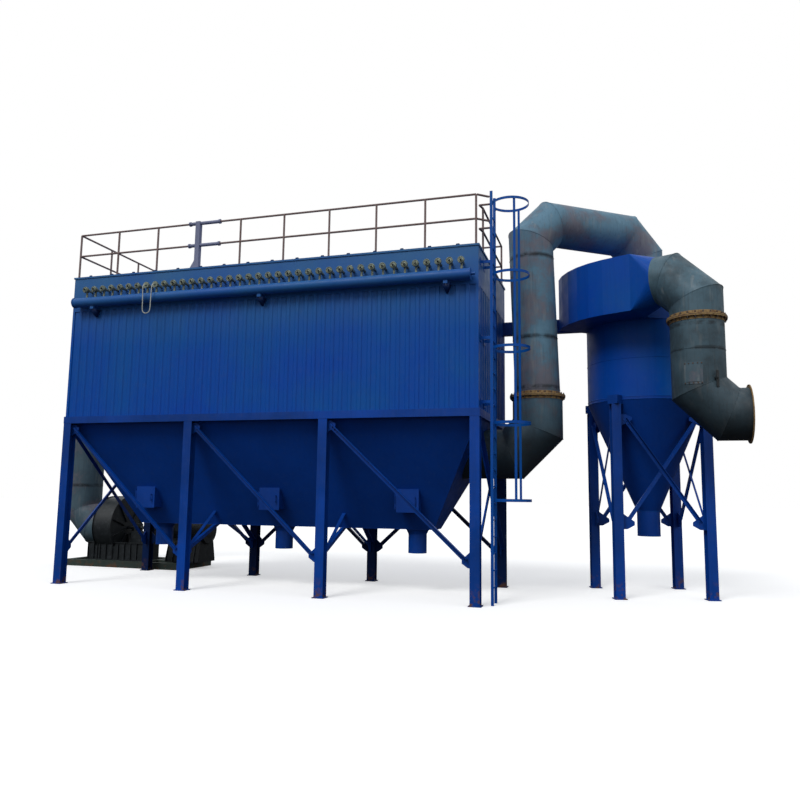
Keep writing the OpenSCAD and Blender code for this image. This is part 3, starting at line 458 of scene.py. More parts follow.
def rusty_steel(name, primer, rust, share):
    """Primer or mill scale half eaten by rust: matt, mottled at 15 to 80 mm, with a rough
    skin."""
    skin = Skin(name, primer)
    skin.cover(skin.patches(0.62 - 0.3 * share, 0.74 - 0.2 * share, 14, 6, 0.7), rust)
    fine = skin.patches(0.45, 0.75, 60, 6, 0.7)
    skin.cover(fine, dimmed(rust, 0.45), 0.5)
    scab = skin.bump(skin.noise(60, 6, 0.7), 0.001)
    rough = ranged(skin.tree, fine, 0, 1, 0.62, 0.88)
    return skin.shaded(rough, scab, Specular_IOR_Level=0.25)


def cast_alloy(name, colour):
    """Die-cast aluminium gone dull: fine grain from the mould and grey-green oxide."""
    skin = Skin(name, colour)
    oxide = skin.patches(0.4, 0.65, 18, 5, 0.65)
    skin.cover(oxide, dimmed(colour, 0.5))
    rough = ranged(skin.tree, oxide, 0, 1, 0.45, 0.7)
    return skin.shaded(rough, skin.bump(skin.noise(160, 3), 0.0006), Metallic=0.35)


def moulding(name, colour, rough_low=0.4):
    """Moulded rubber or polyamide: even, with a faint matt bloom."""
    skin = Skin(name, colour)
    bloom = skin.patches(0.4, 0.7, 25, 4)
    skin.cover(bloom, [min(1, c * 1.5 + 0.01) for c in colour])
    rough = ranged(skin.tree, bloom, 0, 1, rough_low, rough_low + 0.2)
    return skin.shaded(rough, skin.bump(skin.noise(220, 2), 0.0003))


FINISHES = {}


def make_finishes(colours):
    """Every finish once, by the name that the pieces ask for."""
    rust, stain_and_sheen = colours.rust, colours.duct_stain_and_sheen
    # Rolled sections and tube hardly wave
    stiff = {"dent": 0.0006}
    for key, about, colour, second, gloss, more in (
            # The house's pale share near the roof paints the sky's sheen, with some chalking
            ("house", "gloss enamel on ribbed sheet", colours.house, colours.house_pale, 0.40,
             {"specular": 0.16, "sheen_and_chalk": 0.65}),
            ("cyclone", "gloss enamel on rolled sheet", colours.house, colours.house_pale,
             0.40, {"specular": 0.16}),
            ("steelwork", "gloss enamel on rolled sections", colours.steelwork, colours.house,
             0.36, {"grime": 0.12, "rust_high": 0.45, "rust_share": 0.15, "specular": 0.25,
                    **stiff}),
            # A darker copy of the steelwork enamel that paints shade on the rear columns and
            # braces, and on the header brackets and roof lugs
            ("shaded_steel", "sooty enamel on rear sections", colours.shaded_steel, 0.6, 0.42,
             {"rust_high": 0.35, "specular": 0.16, **stiff}),
            ("hopper", "satin enamel on hopper plate", colours.hopper, 0.75, 0.42,
             {"dent": 0.007, "dent_scale": 1.4, "specular": 0.2}),
            ("mast", "chalky paint on hoist mast", colours.mast, 0.7, 0.6,
             {"grime": 0.3, "rust_share": 0.3, **stiff}),
            ("fan", "machine enamel on fan", colours.fan, 1.6, 0.45,
             {"grime": 0.35, "rust_share": 0.2, "dent": 0.002, "specular": 0.35}),
            ("skid", "primer on channel skid", colours.skid, 0.7, 0.55,
             {"grime": 0.35, "rust_high": 0.2, "rust_share": 0.3, **stiff})):
        # A number is the share of the first colour that the second keeps
        if isinstance(second, float):
            second = dimmed(colour, second)
        FINISHES[key] = painted_steel(about, colour, second, rust, gloss, **more)
    # A span of darkening, deeper towards the bottom, paints shade with some soot on the
    # crossover and feed ducts
    for key, about, colour, second, soot, marks in (
            ("duct", "weathered", colours.duct, stain_and_sheen, (0.0, 0.01), CLEAN_SEAMS),
            ("duct_pale", "bleached", colours.duct_pale, stain_and_sheen, (3.3, 4.8),
             (*CROSS_SEAMS, 4.45)),
            ("duct_dark", "sooty", colours.duct_dark, dimmed(colours.duct, 0.6), (3.2, 6.2),
             (FEED_SEAM, 5.52))):
        FINISHES[key] = duct_skin(f"{about} primer on rolled duct", colour, second, rust, soot,
                                  marks)
    FINISHES["rail"] = rusty_steel("red primer on rail tube", colours.rail, rust, 0.2)
    FINISHES["flange"] = rusty_steel("rusted flange steel", rust, rgb("#a5895c"), 0.9)
    FINISHES["bolt"] = rusty_steel("weathered bolt steel", rgb("#4b4a4a"), rust, 0.5)
    FINISHES["casting"] = cast_alloy("die-cast valve alloy", colours.casting)
    FINISHES["coil"] = moulding("moulded coil case", rgb("#22262a"))
    FINISHES["hose"] = moulding("pale rubber hose", rgb("#a9ada4"), 0.6)


NODE_FINISH = {
    "house": ("front_wall", "rear_wall", "left_wall", "right_wall", "roof_sheet",
              "roof_lids", "air_header"),
    "cyclone": ("ladder", "ladder_cage", "cage_straps", "cyclone_barrel", "cyclone_scroll",
                "inlet_transition"),
    # Painted shade: the rear steel takes the darker copy of the steelwork enamel
    "shaded_steel": ("rear_columns", "rear_braces"),
    "steelwork": ("front_columns", "front_braces", "end_braces", "knee_braces", "ring_beam",
                  "tie_beam", "cyclone_legs", "cyclone_braces", "dust_outlets"),
    "hopper": ("hopper_front", "hopper_rear", "hopper_left", "hopper_right",
               "hopper_floor", "door_frames", "door_1", "door_2", "door_3",
               "cyclone_cone"),
    "duct": ("clean_air_duct",),
    "duct_pale": ("crossover_duct",),
    "duct_dark": ("feed_duct",),
    "mast": ("hoist_mast",),
    "rail": ("front_rail", "rear_rail", "left_rail", "right_rail"),
    "flange": ("duct_flanges",),
    "fan": ("fan_casing", "fan_bearings", "fan_motor"),
    "skid": ("fan_skid",),
    "casting": ("pulse_valves",),
    "hose": ("valve_hose",),
}


# Trees that make what repeats or follows a line

def geo(tree, kind, inputs=None, **settings):
    return made(tree, "GeometryNode" + kind, inputs, **settings)


def merged(tree, parts):
    whole = add(tree, "GeometryNodeJoinGeometry")
    for part in parts:
        tree.links.new(part, whole.inputs[0])
    return whole.outputs[0]


def group_with(name, **inputs):
    """An empty geometry tree that takes a geometry and the inputs named by kind: the tree,
    what it is given and its output node."""
    tree = bpy.data.node_groups.new(name, "GeometryNodeTree")
    ends = [("Geometry", "Geometry", "INPUT"), ("Geometry", "Geometry", "OUTPUT")]
    ends += [(label, kind, "INPUT") for kind, labels in inputs.items() for label in labels]
    for label, kind, side in ends:
        tree.interface.new_socket(label, in_out=side, socket_type="NodeSocket" + kind)
    return tree, add(tree, "NodeGroupInput").outputs, add(tree, "NodeGroupOutput")


def end_tree(tree, given, end, geometry):
    real = geo(tree, "RealizeInstances", {0: geometry})
    dressed = geo(tree, "SetMaterial", {"Geometry": real, "Material": given["Material"]})
    tree.links.new(dressed, end.inputs[0])


def bolt_tree():
    """A hexagon head or nut, its washer and the end of its stud at each point, along the
    point's own direction."""
    tree, given, end = group_with("hexagon bolts", Material=["Material"], Float=[
        "Across flats", "Head height", "Washer radius", "Stud length"])
    flats, head_h, stud_h = (given[key] for key in ("Across flats", "Head height",
                                                    "Stud length"))
    head = {"Vertices": 6, "Radius": product(tree, flats, 0.577), "Depth": head_h}
    washer = {"Vertices": 14, "Radius": given["Washer radius"], "Depth": WASHER_T}
    stud = {"Vertices": 10, "Radius": product(tree, flats, 0.32), "Depth": stud_h}
    parts = []
    for shape, lift in ((head, product(tree, product(tree, head_h, 0.5), WASHER_T, "ADD")),
                        (washer, WASHER_T / 2), (stud, product(tree, stud_h, 0.5))):
        up = made(tree, "ShaderNodeCombineXYZ", {2: lift})
        parts.append(geo(tree, "Transform", {"Geometry": geo(tree, "MeshCylinder", shape),
                                             "Translation": up}))
    out = geo(tree, "InputNamedAttribute", {"Name": "out"}, data_type="FLOAT_VECTOR")
    turn = made(tree, "FunctionNodeAlignRotationToVector", {"Vector": out}, axis="Z")
    spread = geo(tree, "InstanceOnPoints", {"Points": given["Geometry"], "Rotation": turn,
                                            "Instance": merged(tree, parts)})
    end_tree(tree, given, end, spread)
    return tree


def bead_tree():
    """A round weld bead along each line of the piece."""
    tree, given, end = group_with("weld beads", Float=["Radius"], Material=["Material"])
    line = geo(tree, "MeshToCurve", {0: given["Geometry"]})
    section = geo(tree, "CurvePrimitiveCircle", {"Resolution": 6, "Radius": given["Radius"]})
    bead = geo(tree, "CurveToMesh", {"Curve": line, "Profile Curve": section,
                                     "Fill Caps": True})
    end_tree(tree, given, end, bead)
    return tree


def fin_tree():
    """Thin upright cooling fins in a ring about the X axis of the piece's one point."""
    tree, given, end = group_with("motor fins", Int=["Count"], Material=["Material"],
                                  Float=["Ring radius", "Fin length", "Fin depth"])
    ring = geo(tree, "MeshCircle", {"Vertices": given["Count"],
                                    "Radius": given["Ring radius"]})
    size = made(tree, "ShaderNodeCombineXYZ", {0: given["Fin depth"], 1: FIN_T,
                                               2: given["Fin length"]})
    turn = made(tree, "FunctionNodeAlignRotationToVector",
                {"Vector": geo(tree, "InputPosition")}, axis="X", pivot_axis="Z")
    spread = geo(tree, "InstanceOnPoints", {
        "Points": ring, "Instance": geo(tree, "MeshCube", {"Size": size}), "Rotation": turn})
    lay = geo(tree, "Transform", {"Rotation": (0.0, math.pi / 2, 0.0), "Geometry": spread})
    end_tree(tree, given, end, geo(tree, "InstanceOnPoints", {"Points": given["Geometry"],
                                                              "Instance": lay}))
    return tree


def valve_tree():
    """The front of a diaphragm valve at each point, facing along -Y: the cast cap with its
    raised rim and screws, and the pilot's coil with its nut."""
    tree, given, end = group_with("pulse valve heads", Float=["Cap radius"],
                                  Material=["Coil", "Material"])
    alloy, black = given["Material"], given["Coil"]

    def drum(r, h, z, sides, material, x=0.0, y=0.0):
        shape = geo(tree, "MeshCylinder", {"Vertices": sides, "Depth": h, "Radius": r})
        moved = geo(tree, "Transform", {"Translation": (x, y, z), "Geometry": shape})
        return geo(tree, "SetMaterial", {"Geometry": moved, "Material": material})

    rim = geo(tree, "CurvePrimitiveCircle", {
        "Resolution": 24, "Radius": product(tree, given["Cap radius"], 0.86)})
    section = geo(tree, "CurvePrimitiveCircle", {"Resolution": 6, "Radius": 0.009})
    ring = geo(tree, "CurveToMesh", {"Curve": rim, "Profile Curve": section})
    parts = [geo(tree, "SetMaterial", {"Geometry": ring, "Material": alloy}),
             drum(0.044, 0.016, 0.008, 20, alloy), drum(0.021, 0.042, 0.037, 14, black),
             drum(0.012, 0.012, 0.062, 6, alloy)]
    parts += [drum(0.006, 0.012, 0.010, 6, alloy, 0.061 * c, 0.061 * s)
              for c, s in circle(6, 0.5)]
    faced = geo(tree, "Transform", {"Rotation": (math.pi / 2, 0.0, 0.0),
                                    "Geometry": merged(tree, parts)})
    spread = geo(tree, "InstanceOnPoints", {"Points": given["Geometry"], "Instance": faced})
    tree.links.new(geo(tree, "RealizeInstances", {0: spread}), end.inputs[0])
    return tree


TREES = {}


def grown(piece, tree_name, inputs):
    """Runs one of the trees on a piece and leaves the plain mesh that it made."""
    if tree_name not in TREES:
        TREES[tree_name] = {"bolts": bolt_tree, "beads": bead_tree, "fins": fin_tree,
                            "valves": valve_tree}[tree_name]()
    tree = TREES[tree_name]
    modifier = piece.modifiers.new("made by nodes", "NODES")
    modifier.node_group = tree
    for item in tree.interface.items_tree:
        if item.item_type == "SOCKET" and item.in_out == "INPUT" and item.name in inputs:
            modifier[item.identifier] = inputs[item.name]
    piece.update_tag()
    bpy.context.view_layer.update()
    shaped = piece.evaluated_get(bpy.context.evaluated_depsgraph_get())
    mesh = bpy.data.meshes.new_from_object(shaped)
    piece.modifiers.clear()
    piece.data = mesh
    if not mesh.vertices:
        raise RuntimeError(f"{piece.name}: the tree made nothing")
    return piece


def bolts(name, places, flats, head, washer, stud, finish="bolt"):
    """Bolts at (point, direction) places."""
    piece = new_piece(name, [tuple(p) for p, _ in places], [])
    out = piece.data.attributes.new("out", "FLOAT_VECTOR", "POINT")
    for i, (_, direction) in enumerate(places):
        out.data[i].vector = direction
    grown(piece, "bolts", {"Across flats": flats, "Head height": head,
                           "Washer radius": washer, "Stud length": stud,
                           "Material": FINISHES[finish]})
    return finish_piece(piece, None)


def beads(name, lines, radius, finish):
    """Weld beads along lines of points, each (points, closed)."""
    points, edges = [], []
    for line, closed in lines:
        start = len(points)
        points += [tuple(p) for p in line]
        edges += [(start + i, start + i + 1) for i in range(len(line) - 1)]
        if closed:
            edges.append((len(points) - 1, start))
    piece = new_piece(name, points, [], edges)
    grown(piece, "beads", {"Radius": radius, "Material": FINISHES[finish]})
    piece.data.polygons.foreach_set("use_smooth", [True] * len(piece.data.polygons))
    return finish_piece(piece, None)


# Ducts

def heading(path, i):
    return (path[i] - path[i - 1]).normalized()


def mitre_rings(path, r, sides):
    """Rings of points along a path of straight gores, each in the mitre plane there."""
    u = heading(path, 1)
    up = ACROSS if abs(u.z) > 0.5 else UP
    side = u.cross(up)
    ring = [path[0] + r * (c * up + s * side) for c, s in circle(sides)]
    rings = [ring]
    for i in range(1, len(path)):
        u = heading(path, i)
        plane = u if i == len(path) - 1 else (u + heading(path, i + 1)).normalized()
        ring = [p + u * ((path[i] - p).dot(plane) / u.dot(plane)) for p in ring]
        rings.append(ring)
    return rings


def rolled_duct(name, path, d, sides, trim=None):
    """A duct of rolled sheet with an open bore, sharp at its mitres, and its rings."""
    outer = mitre_rings(path, d / 2, sides)
    inner = mitre_rings(path, d / 2 - DUCT_T, sides)
    if trim:
        outer[0] = [trim(p) for p in outer[0]]
        inner[0] = [trim(p) for p in inner[0]]
    n, m = len(path), sides
    points = [tuple(p) for ring in outer + inner for p in ring]
    inside = n * m
    faces = []
    for i in range(n - 1):
        for k in range(m):
            a, b = i * m + k, i * m + (k + 1) % m
            faces.append([a, b, b + m, a + m])
            faces.append([inside + a + m, inside + b + m, inside + b, inside + a])
    for k in range(m):
        a, b = k, (k + 1) % m
        faces.append([b, a, inside + a, inside + b])
        a, b = (n - 1) * m + a, (n - 1) * m + b
        faces.append([a, b, inside + b, inside + a])
    piece = new_piece(name, points, faces)
    for edge in piece.data.edges:
        i, j = edge.vertices
        edge.use_edge_sharp = i // m == j // m
    return piece, outer


def inlet_path():
    a = INLET_D / 2
    return [Vector(p) for p in ((LENGTH - 0.5, RISER_Y, INLET_Z),
                                (RISER_X - a, RISER_Y, INLET_Z),
                                (RISER_X, RISER_Y, INLET_Z + a),
                                (RISER_X, RISER_Y, FLANGE_Z))]


def cross_path():
    a = CROSS_D / 2
    across = Vector((CYC_X - RISER_TOP_X, CYC_Y - RISER_Y, 0)).normalized()
    return [Vector((RISER_X, RISER_Y, FLANGE_Z)),
            Vector((RISER_X, RISER_Y, RISER_FOOT_Z)),
            Vector((RISER_TOP_X, RISER_Y, RUN_Z - a)),
            Vector((RISER_TOP_X, RISER_Y, RUN_Z)) + a * across,
            Vector((CYC_X, CYC_Y, RUN_Z)) - a * across,
            Vector((CYC_X, CYC_Y, RUN_Z - a)),
            Vector((CYC_X, CYC_Y, SCROLL_Z + SCROLL_H))]


def inlet_frame():
    """Axis start and direction of the cyclone's inlet."""
    ahead = Vector((math.cos(INLET_AZ), math.sin(INLET_AZ), 0))
    aside = Vector((ahead.y, -ahead.x, 0))
    start = Vector((CYC_X, CYC_Y, SCROLL_Z + SCROLL_H / 2)) + aside * (CYC_R + INLET_W / 2)
    return start, ahead


def feed_path():
    start, ahead = inlet_frame()
    a = FEED_D / 2
    top = start + ahead * FEED_REACH
    low = Vector((top.x, top.y, FEED_LOW))
    return [start + ahead * 1.08, top - a * ahead, top - Vector((0, 0, a)),
            low + Vector((0, 0, a)), low + Vector((a, 0, 0)), low + Vector((0.9, 0, 0))]


def clean_path():
    a = CLEAN_D / 2
    return [Vector(p) for p in ((FAN_X - CASING_W / 2, FAN_Y, SHAFT_Z),
                                (CLEAN_X + a, FAN_Y, SHAFT_Z),
                                (CLEAN_X, FAN_Y, SHAFT_Z + a),
                                (CLEAN_X, FAN_Y, CLEAN_Z - a),
                                (CLEAN_X + a, FAN_Y, CLEAN_Z),
                                (CLEAN_WALL_X - a, FAN_Y, CLEAN_Z),
                                (CLEAN_WALL_X, FAN_Y - a, CLEAN_Z),
                                (CLEAN_WALL_X, DEPTH - HOUSE_FACE, CLEAN_Z))]


def seam_at(centre, direction, r):
    """Ring of points round a straight duct, for a seam between two courses of sheet."""
    u = direction.normalized()
    e = UP if abs(u.z) < 0.9 else ACROSS
    e = (e - u * e.dot(u)).normalized()
    f = u.cross(e)
    return [centre + r * (c * e + s * f) for c, s in circle(SEAM_SIDES)]


def on_hopper_end(p):
    """The point moved along X to the sloping right end plate of the hopper."""
    return Vector((LENGTH + HOP_LIP_X - (RING_Z - p.z) * HOP_END_RUN, p.y, p.z))


class DUST_OT_finishes(bpy.types.Operator):
    """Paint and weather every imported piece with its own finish"""
    bl_idname = "dust.finishes"
    bl_label = "Paint the steelwork"

    def execute(self, context):
        make_finishes(context.scene.dust_paint)
        done = set()
        for finish, names in NODE_FINISH.items():
            for name in names:
                NODES[name].data.materials.clear()
                NODES[name].data.materials.append(FINISHES[finish])
                done.add(name)
        if done != set(NODES):
            raise RuntimeError(f"no finish for {sorted(set(NODES) - done)}")
        return {"FINISHED"}


class DUST_OT_hose(bpy.types.Operator):
    """Hang the pilot hose between the caps of two valves"""
    bl_idname = "dust.hose"
    bl_label = "Hang the pilot hose"

    def execute(self, context):
        line = bpy.data.curves.new("pilot_hose", "CURVE")
        line.dimensions = "3D"
        line.bevel_depth = HOSE_D / 2
        line.bevel_resolution = 3
        line.resolution_u = 6
        spline = line.splines.new("BEZIER")
        spline.bezier_points.add(len(HOSE_POINTS) - 1)
        for point, place in zip(spline.bezier_points, HOSE_POINTS):
            point.co = place
            point.handle_left_type = point.handle_right_type = "AUTO"
        hose = bpy.data.objects.new("pilot_hose", line)
        context.scene.collection.objects.link(hose)
        finish_piece(hose, FINISHES["hose"])
        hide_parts("valve_hose")
        return {"FINISHED"}


class DUST_OT_ducts(bpy.types.Operator):
    """Roll the ducts from sheet and weld their elbows and seams"""
    bl_idname = "dust.ducts"
    bl_label = "Roll the ducts"

    def execute(self, context):
        sizes = context.scene.dust_sizes
        foot, head = cross_path()[1:3]
        lean = head - foot
        top = feed_path()[2]
        for name, node, finish, path, d, trim, courses in (
                ("inlet_elbow", "crossover_duct", "duct_pale", inlet_path(), INLET_D,
                 on_hopper_end, []),
                ("riser_and_run", "crossover_duct", "duct_pale", cross_path(), CROSS_D, None,
                 [(foot + lean * ((z - foot.z) / lean.z), lean) for z in CROSS_SEAMS]),
                ("feed_drop", "feed_duct", "duct_dark", feed_path(), FEED_D, None,
                 [(Vector((top.x, top.y, FEED_SEAM)), UP)]),
                ("clean_air_run", "clean_air_duct", "duct", clean_path(), CLEAN_D, None,
                 [(Vector((CLEAN_X, FAN_Y, z)), UP) for z in CLEAN_SEAMS])):
            piece, rings = rolled_duct(name, path, d, sizes.duct_sides, trim)
            finish_piece(piece, FINISHES[finish])
            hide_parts(node)
            seams = [(ring, True) for ring in rings[1:-1]]
            seams += [(seam_at(centre, way, d / 2), True) for centre, way in courses]
            beads(name + "_beads", seams, sizes.weld_r, finish)
        return {"FINISHED"}


class DUST_OT_flange_bolts(bpy.types.Operator):
    """Bolt up the two flange pairs on the upright ducts"""
    bl_idname = "dust.flange_bolts"
    bl_label = "Bolt the duct flanges"

    def execute(self, context):
        places, legs, rims = [], [], []
        top = feed_path()[2]
        # Where a pair sits, its bolt circle and its rim, and the ducts above and below it
        for at, bolt_r, rim_r, above, below in (
                (Vector((RISER_X, RISER_Y, FLANGE_Z)), 0.568, 0.595, CROSS_D, INLET_D),
                (Vector((top.x, top.y, FEED_FLANGE_Z)), 0.548, 0.575, FEED_D, FEED_D)):
            for c, s in circle(PAIR_BOLTS, 0.5):
                p = at + Vector((bolt_r * c, bolt_r * s, 0))
                places += [(p + UP * PAIR_T, UP), (p, -UP)]
            # The upright legs of the two angle rings, against the duct
            for d, lift in ((below, -ANGLE_H), (above, PAIR_T)):
                legs.append(tube(d / 2 + 0.0005, d / 2 + 0.007, ANGLE_H,
                                 context.scene.dust_sizes.duct_sides, at + UP * lift))
            # The joint line between the two rings
            rims.append((seam_at(at + UP * PAIR_T / 2, UP, rim_r), True))
        bolts("flange_bolts", places, 0.034, 0.020, 0.024, 0.044)
        fitted("angle_rings", legs, "flange", 40)
        beads("flange_gaskets", rims, 0.004, "bolt")
        return {"FINISHED"}


class DUST_OT_access_plate(bpy.types.Operator):
    """Screw the access plate and the damper lever to the feed duct"""
    bl_idname = "dust.access_plate"
    bl_label = "Fit the access plate"

    def execute(self, context):
        top = feed_path()[2]

        def on_duct(degrees, z):
            """Place on the duct's skin and the way out of it, by degrees from the front."""
            a = math.radians(degrees)
            out = Vector((math.sin(a), -math.cos(a), 0))
            return Vector((top.x, top.y, z)) + out * FEED_D / 2, out

        parts = []
        for left, right, low, high, thick in ((-35, 3, 4.315, 4.745, 0.008),
                                              (-31, -1, 4.36, 4.70, 0.016)):
            stations = [(p, UP, out) for p, out in
                        (on_duct(left + (right - left) * k / 12, low) for k in range(13))]
            parts.append(swept(stations, [(0, 0.0005), (high - low, 0.0005),
                                          (high - low, thick), (0, thick)]))
        fitted("access_plate", parts, "duct", 40)
        screws = [on_duct(a, z) for z in (4.338, 4.722) for a in (-33, -25, -16, -7, 1)]
        bolts("access_screws", [(p + out * 0.008, out) for p, out in screws],
              0.020, 0.010, 0.014, 0.012)
        # A black lever on a hub, as a damper has
        hub, out = on_duct(30, 4.42)
        spindle = lathe([(0.03, -0.01), (0.03, 0.05), (0.016, 0.055), (0.016, 0.085)], 24,
                        hub, out)
        lever = swept([(hub + out * 0.055 + UP * h, out.cross(UP), out)
                       for h in (-0.17, -0.15, 0.02, 0.13, 0.15)],
                      [(-0.028, 0), (0.028, 0), (0.028, 0.012), (-0.028, 0.012)])
        fitted("damper_lever", [spindle, lever], "fan", 35)
        return {"FINISHED"}


class DUST_OT_small_plates(bpy.types.Operator):
    """Weld the brackets under the header and the lifting lugs along the roof's edges"""
    bl_idname = "dust.small_plates"
    bl_label = "Weld brackets and lugs"

    def execute(self, context):
        foot = HEADER_Z - HEADER_R - 0.06
        wall = HOUSE_FACE - 0.001
        brackets = [block((x - 0.018, x + 0.018, wall - 0.03, wall, foot - 0.16),
                          (x - 0.085, x + 0.085, wall - 0.19, wall, foot))
                    for x in (0.625, LENGTH / 2 + 0.12, LENGTH - 0.565)]
        # The brackets and lugs take the darker enamel that paints shade
        fitted("header_brackets", brackets, "shaded_steel")
        lugs = [block((x - 0.05, x + 0.05, y, y + 0.012, ROOF_Z),
                      (x - 0.030, x + 0.030, y, y + 0.012, ROOF_Z + 0.038))
                for x in (0.35 + 0.603 * i for i in range(16))
                for y in (-0.065, DEPTH + 0.053)]
        fitted("roof_lugs", lugs, "shaded_steel")
        return {"FINISHED"}


class DUST_OT_anchors(bpy.types.Operator):
    """Set the anchor bolts in the base plates of the columns and cyclone legs"""
    bl_idname = "dust.anchors"
    bl_label = "Set the anchor bolts"

    def execute(self, context):
        flats = context.scene.dust_sizes.anchor_flats
        feet = [(i * BAY, y, 0.0) for i in range(4) for y in (0.0, DEPTH)]
        legs = [turned(x, y, CYC_TURN) for x in (-LEG_HALF, LEG_HALF)
                for y in (-LEG_HALF, LEG_HALF)]
        feet += [(CYC_X + x, CYC_Y + y, CYC_TURN) for x, y in legs]
        places = []
        for x, y, turn in feet:
            for dx in (-ANCHOR_X, ANCHOR_X):
                for dy in (-ANCHOR_Y, ANCHOR_Y):
                    aside, back = turned(dx, dy, turn)
                    places.append((Vector((x + aside, y + back, BASE_T)), UP))
        bolts("anchor_bolts", places, flats, flats * 0.6, flats * 0.62, flats * 1.25)
        return {"FINISHED"}


def brace_bolts(a, b, out, lift=0.014, steps=(0.05, 0.12, 0.19)):
    """Places of the bolts near both ends of a brace from a to b."""
    a, b, out = Vector(a), Vector(b), Vector(out)
    u = (b - a).normalized()
    return [(p + out * lift, out) for s in steps for p in (a + u * s, b - u * s)]


class DUST_OT_brace_bolts(bpy.types.Operator):
    """Bolt the angle braces of the house and the cyclone to their gussets"""
    bl_idname = "dust.brace_bolts"
    bl_label = "Bolt the braces"

    def execute(self, context):
        places = []
        for i in range(3):
            x0, x1 = i * BAY, (i + 1) * BAY
            down = ((x0 + 0.15, 0, BRACE_TOP), (x1 - 0.19, 0, BRACE_LOW))
            places += brace_bolts(*down, (0, -1, 0))
            rear = [Vector(p) + Vector((0, DEPTH, 0)) for p in down]
            places += brace_bolts(*rear, (0, -1, 0))
            places += brace_bolts((x1 - 0.15, DEPTH, BRACE_TOP), (x0 + 0.19, DEPTH, BRACE_LOW),
                                  (0, 1, 0))
        top = BRACE_TOP - 0.06
        for x, s in ((0.0, 1), (LENGTH, -1)):
            places += brace_bolts((x, 0.19, BRACE_LOW), (x, DEPTH - 0.16, top), (s, 0, 0))
            places += brace_bolts((x, 0.16, top), (x, DEPTH - 0.19, BRACE_LOW), (-s, 0, 0))
        tip, low, high = LEG_HALF - 0.2, 1.6, CONE_Z - 0.16 - 0.33
        for k in range(4):
            turn = Matrix.Rotation(CYC_TURN + k * math.pi / 2, 3, "Z")
            at = Vector((CYC_X, CYC_Y, 0))
            for a, b, out in (((-tip, -LEG_HALF, low), (tip, -LEG_HALF, high), (0, 1, 0)),
                              ((tip, -LEG_HALF, low), (-tip, -LEG_HALF, high), (0, -1, 0))):
                places += brace_bolts(at + turn @ Vector(a), at + turn @ Vector(b),
                                      turn @ Vector(out), steps=(0.05, 0.12))
        flats = context.scene.dust_sizes.brace_flats
        bolts("brace_bolts", places, flats, flats * 0.55, flats * 0.62, flats * 0.9,
              finish="steelwork")
        return {"FINISHED"}


class DUST_OT_valves(bpy.types.Operator):
    """Fit the caps, screws and coils of the pulse valves, and the nuts of the hose"""
    bl_idname = "dust.valves"
    bl_label = "Fit the valve heads"

    def execute(self, context):
        free = [(VALVE_X + i * VALVE_PITCH, CAP_Y, CAP_Z) for i in range(VALVES)
                if i not in HOSE_VALVES]
        host = new_piece("valve_heads", free, [])
        grown(host, "valves", {"Cap radius": CAP_R, "Coil": FINISHES["coil"],
                               "Material": FINISHES["casting"]})
        finish_piece(host, None)
        inner = HOSE_D / 2 + 0.0003
        nuts = [lathe([(inner, 0), (0.021, 0), (0.021, 0.016), (0.018, 0.020), (inner, 0.020)],
                      6, (x, CAP_Y, CAP_Z), (0, -1, 0), closed_ring=True)
                for x in (HOSE_A, HOSE_B)]
        fitted("hose_nuts", nuts, "casting", 25)
        return {"FINISHED"}


class DUST_OT_welds(bpy.types.Operator):
    """Run the weld beads of the hopper and the cyclone"""
    bl_idname = "dust.welds"
    bl_label = "Weld the plates"

    def execute(self, context):
        r = context.scene.dust_sizes.weld_r
        lines = []
        for x, inward in ((0, 1), (LENGTH, -1)):
            for y, side in ((0, 1), (DEPTH, -1)):
                top = Vector((x - HOP_LIP_X * inward, y + HOP_LIP_Y * side, RING_Z))
                low = Vector((x + HOP_END * inward, DEPTH / 2 - HOP_FLOOR_HALF * side, HOP_LOW))
                lines.append(([top, low], False))
        beads("hopper_welds", lines, r, "hopper")
        rings = [(seam_at(Vector((CYC_X, CYC_Y, z)), UP, radius), True) for z, radius in
                 ((CONE_Z, CYC_R), (CONE_Z - 0.06, CYC_R), (5.16, CYC_R), (SCROLL_Z, CYC_R),
                  (CONE_LOW, CONE_R), (1.29, CONE_R))]
        beads("cyclone_welds", rings, r, "cyclone")
        return {"FINISHED"}


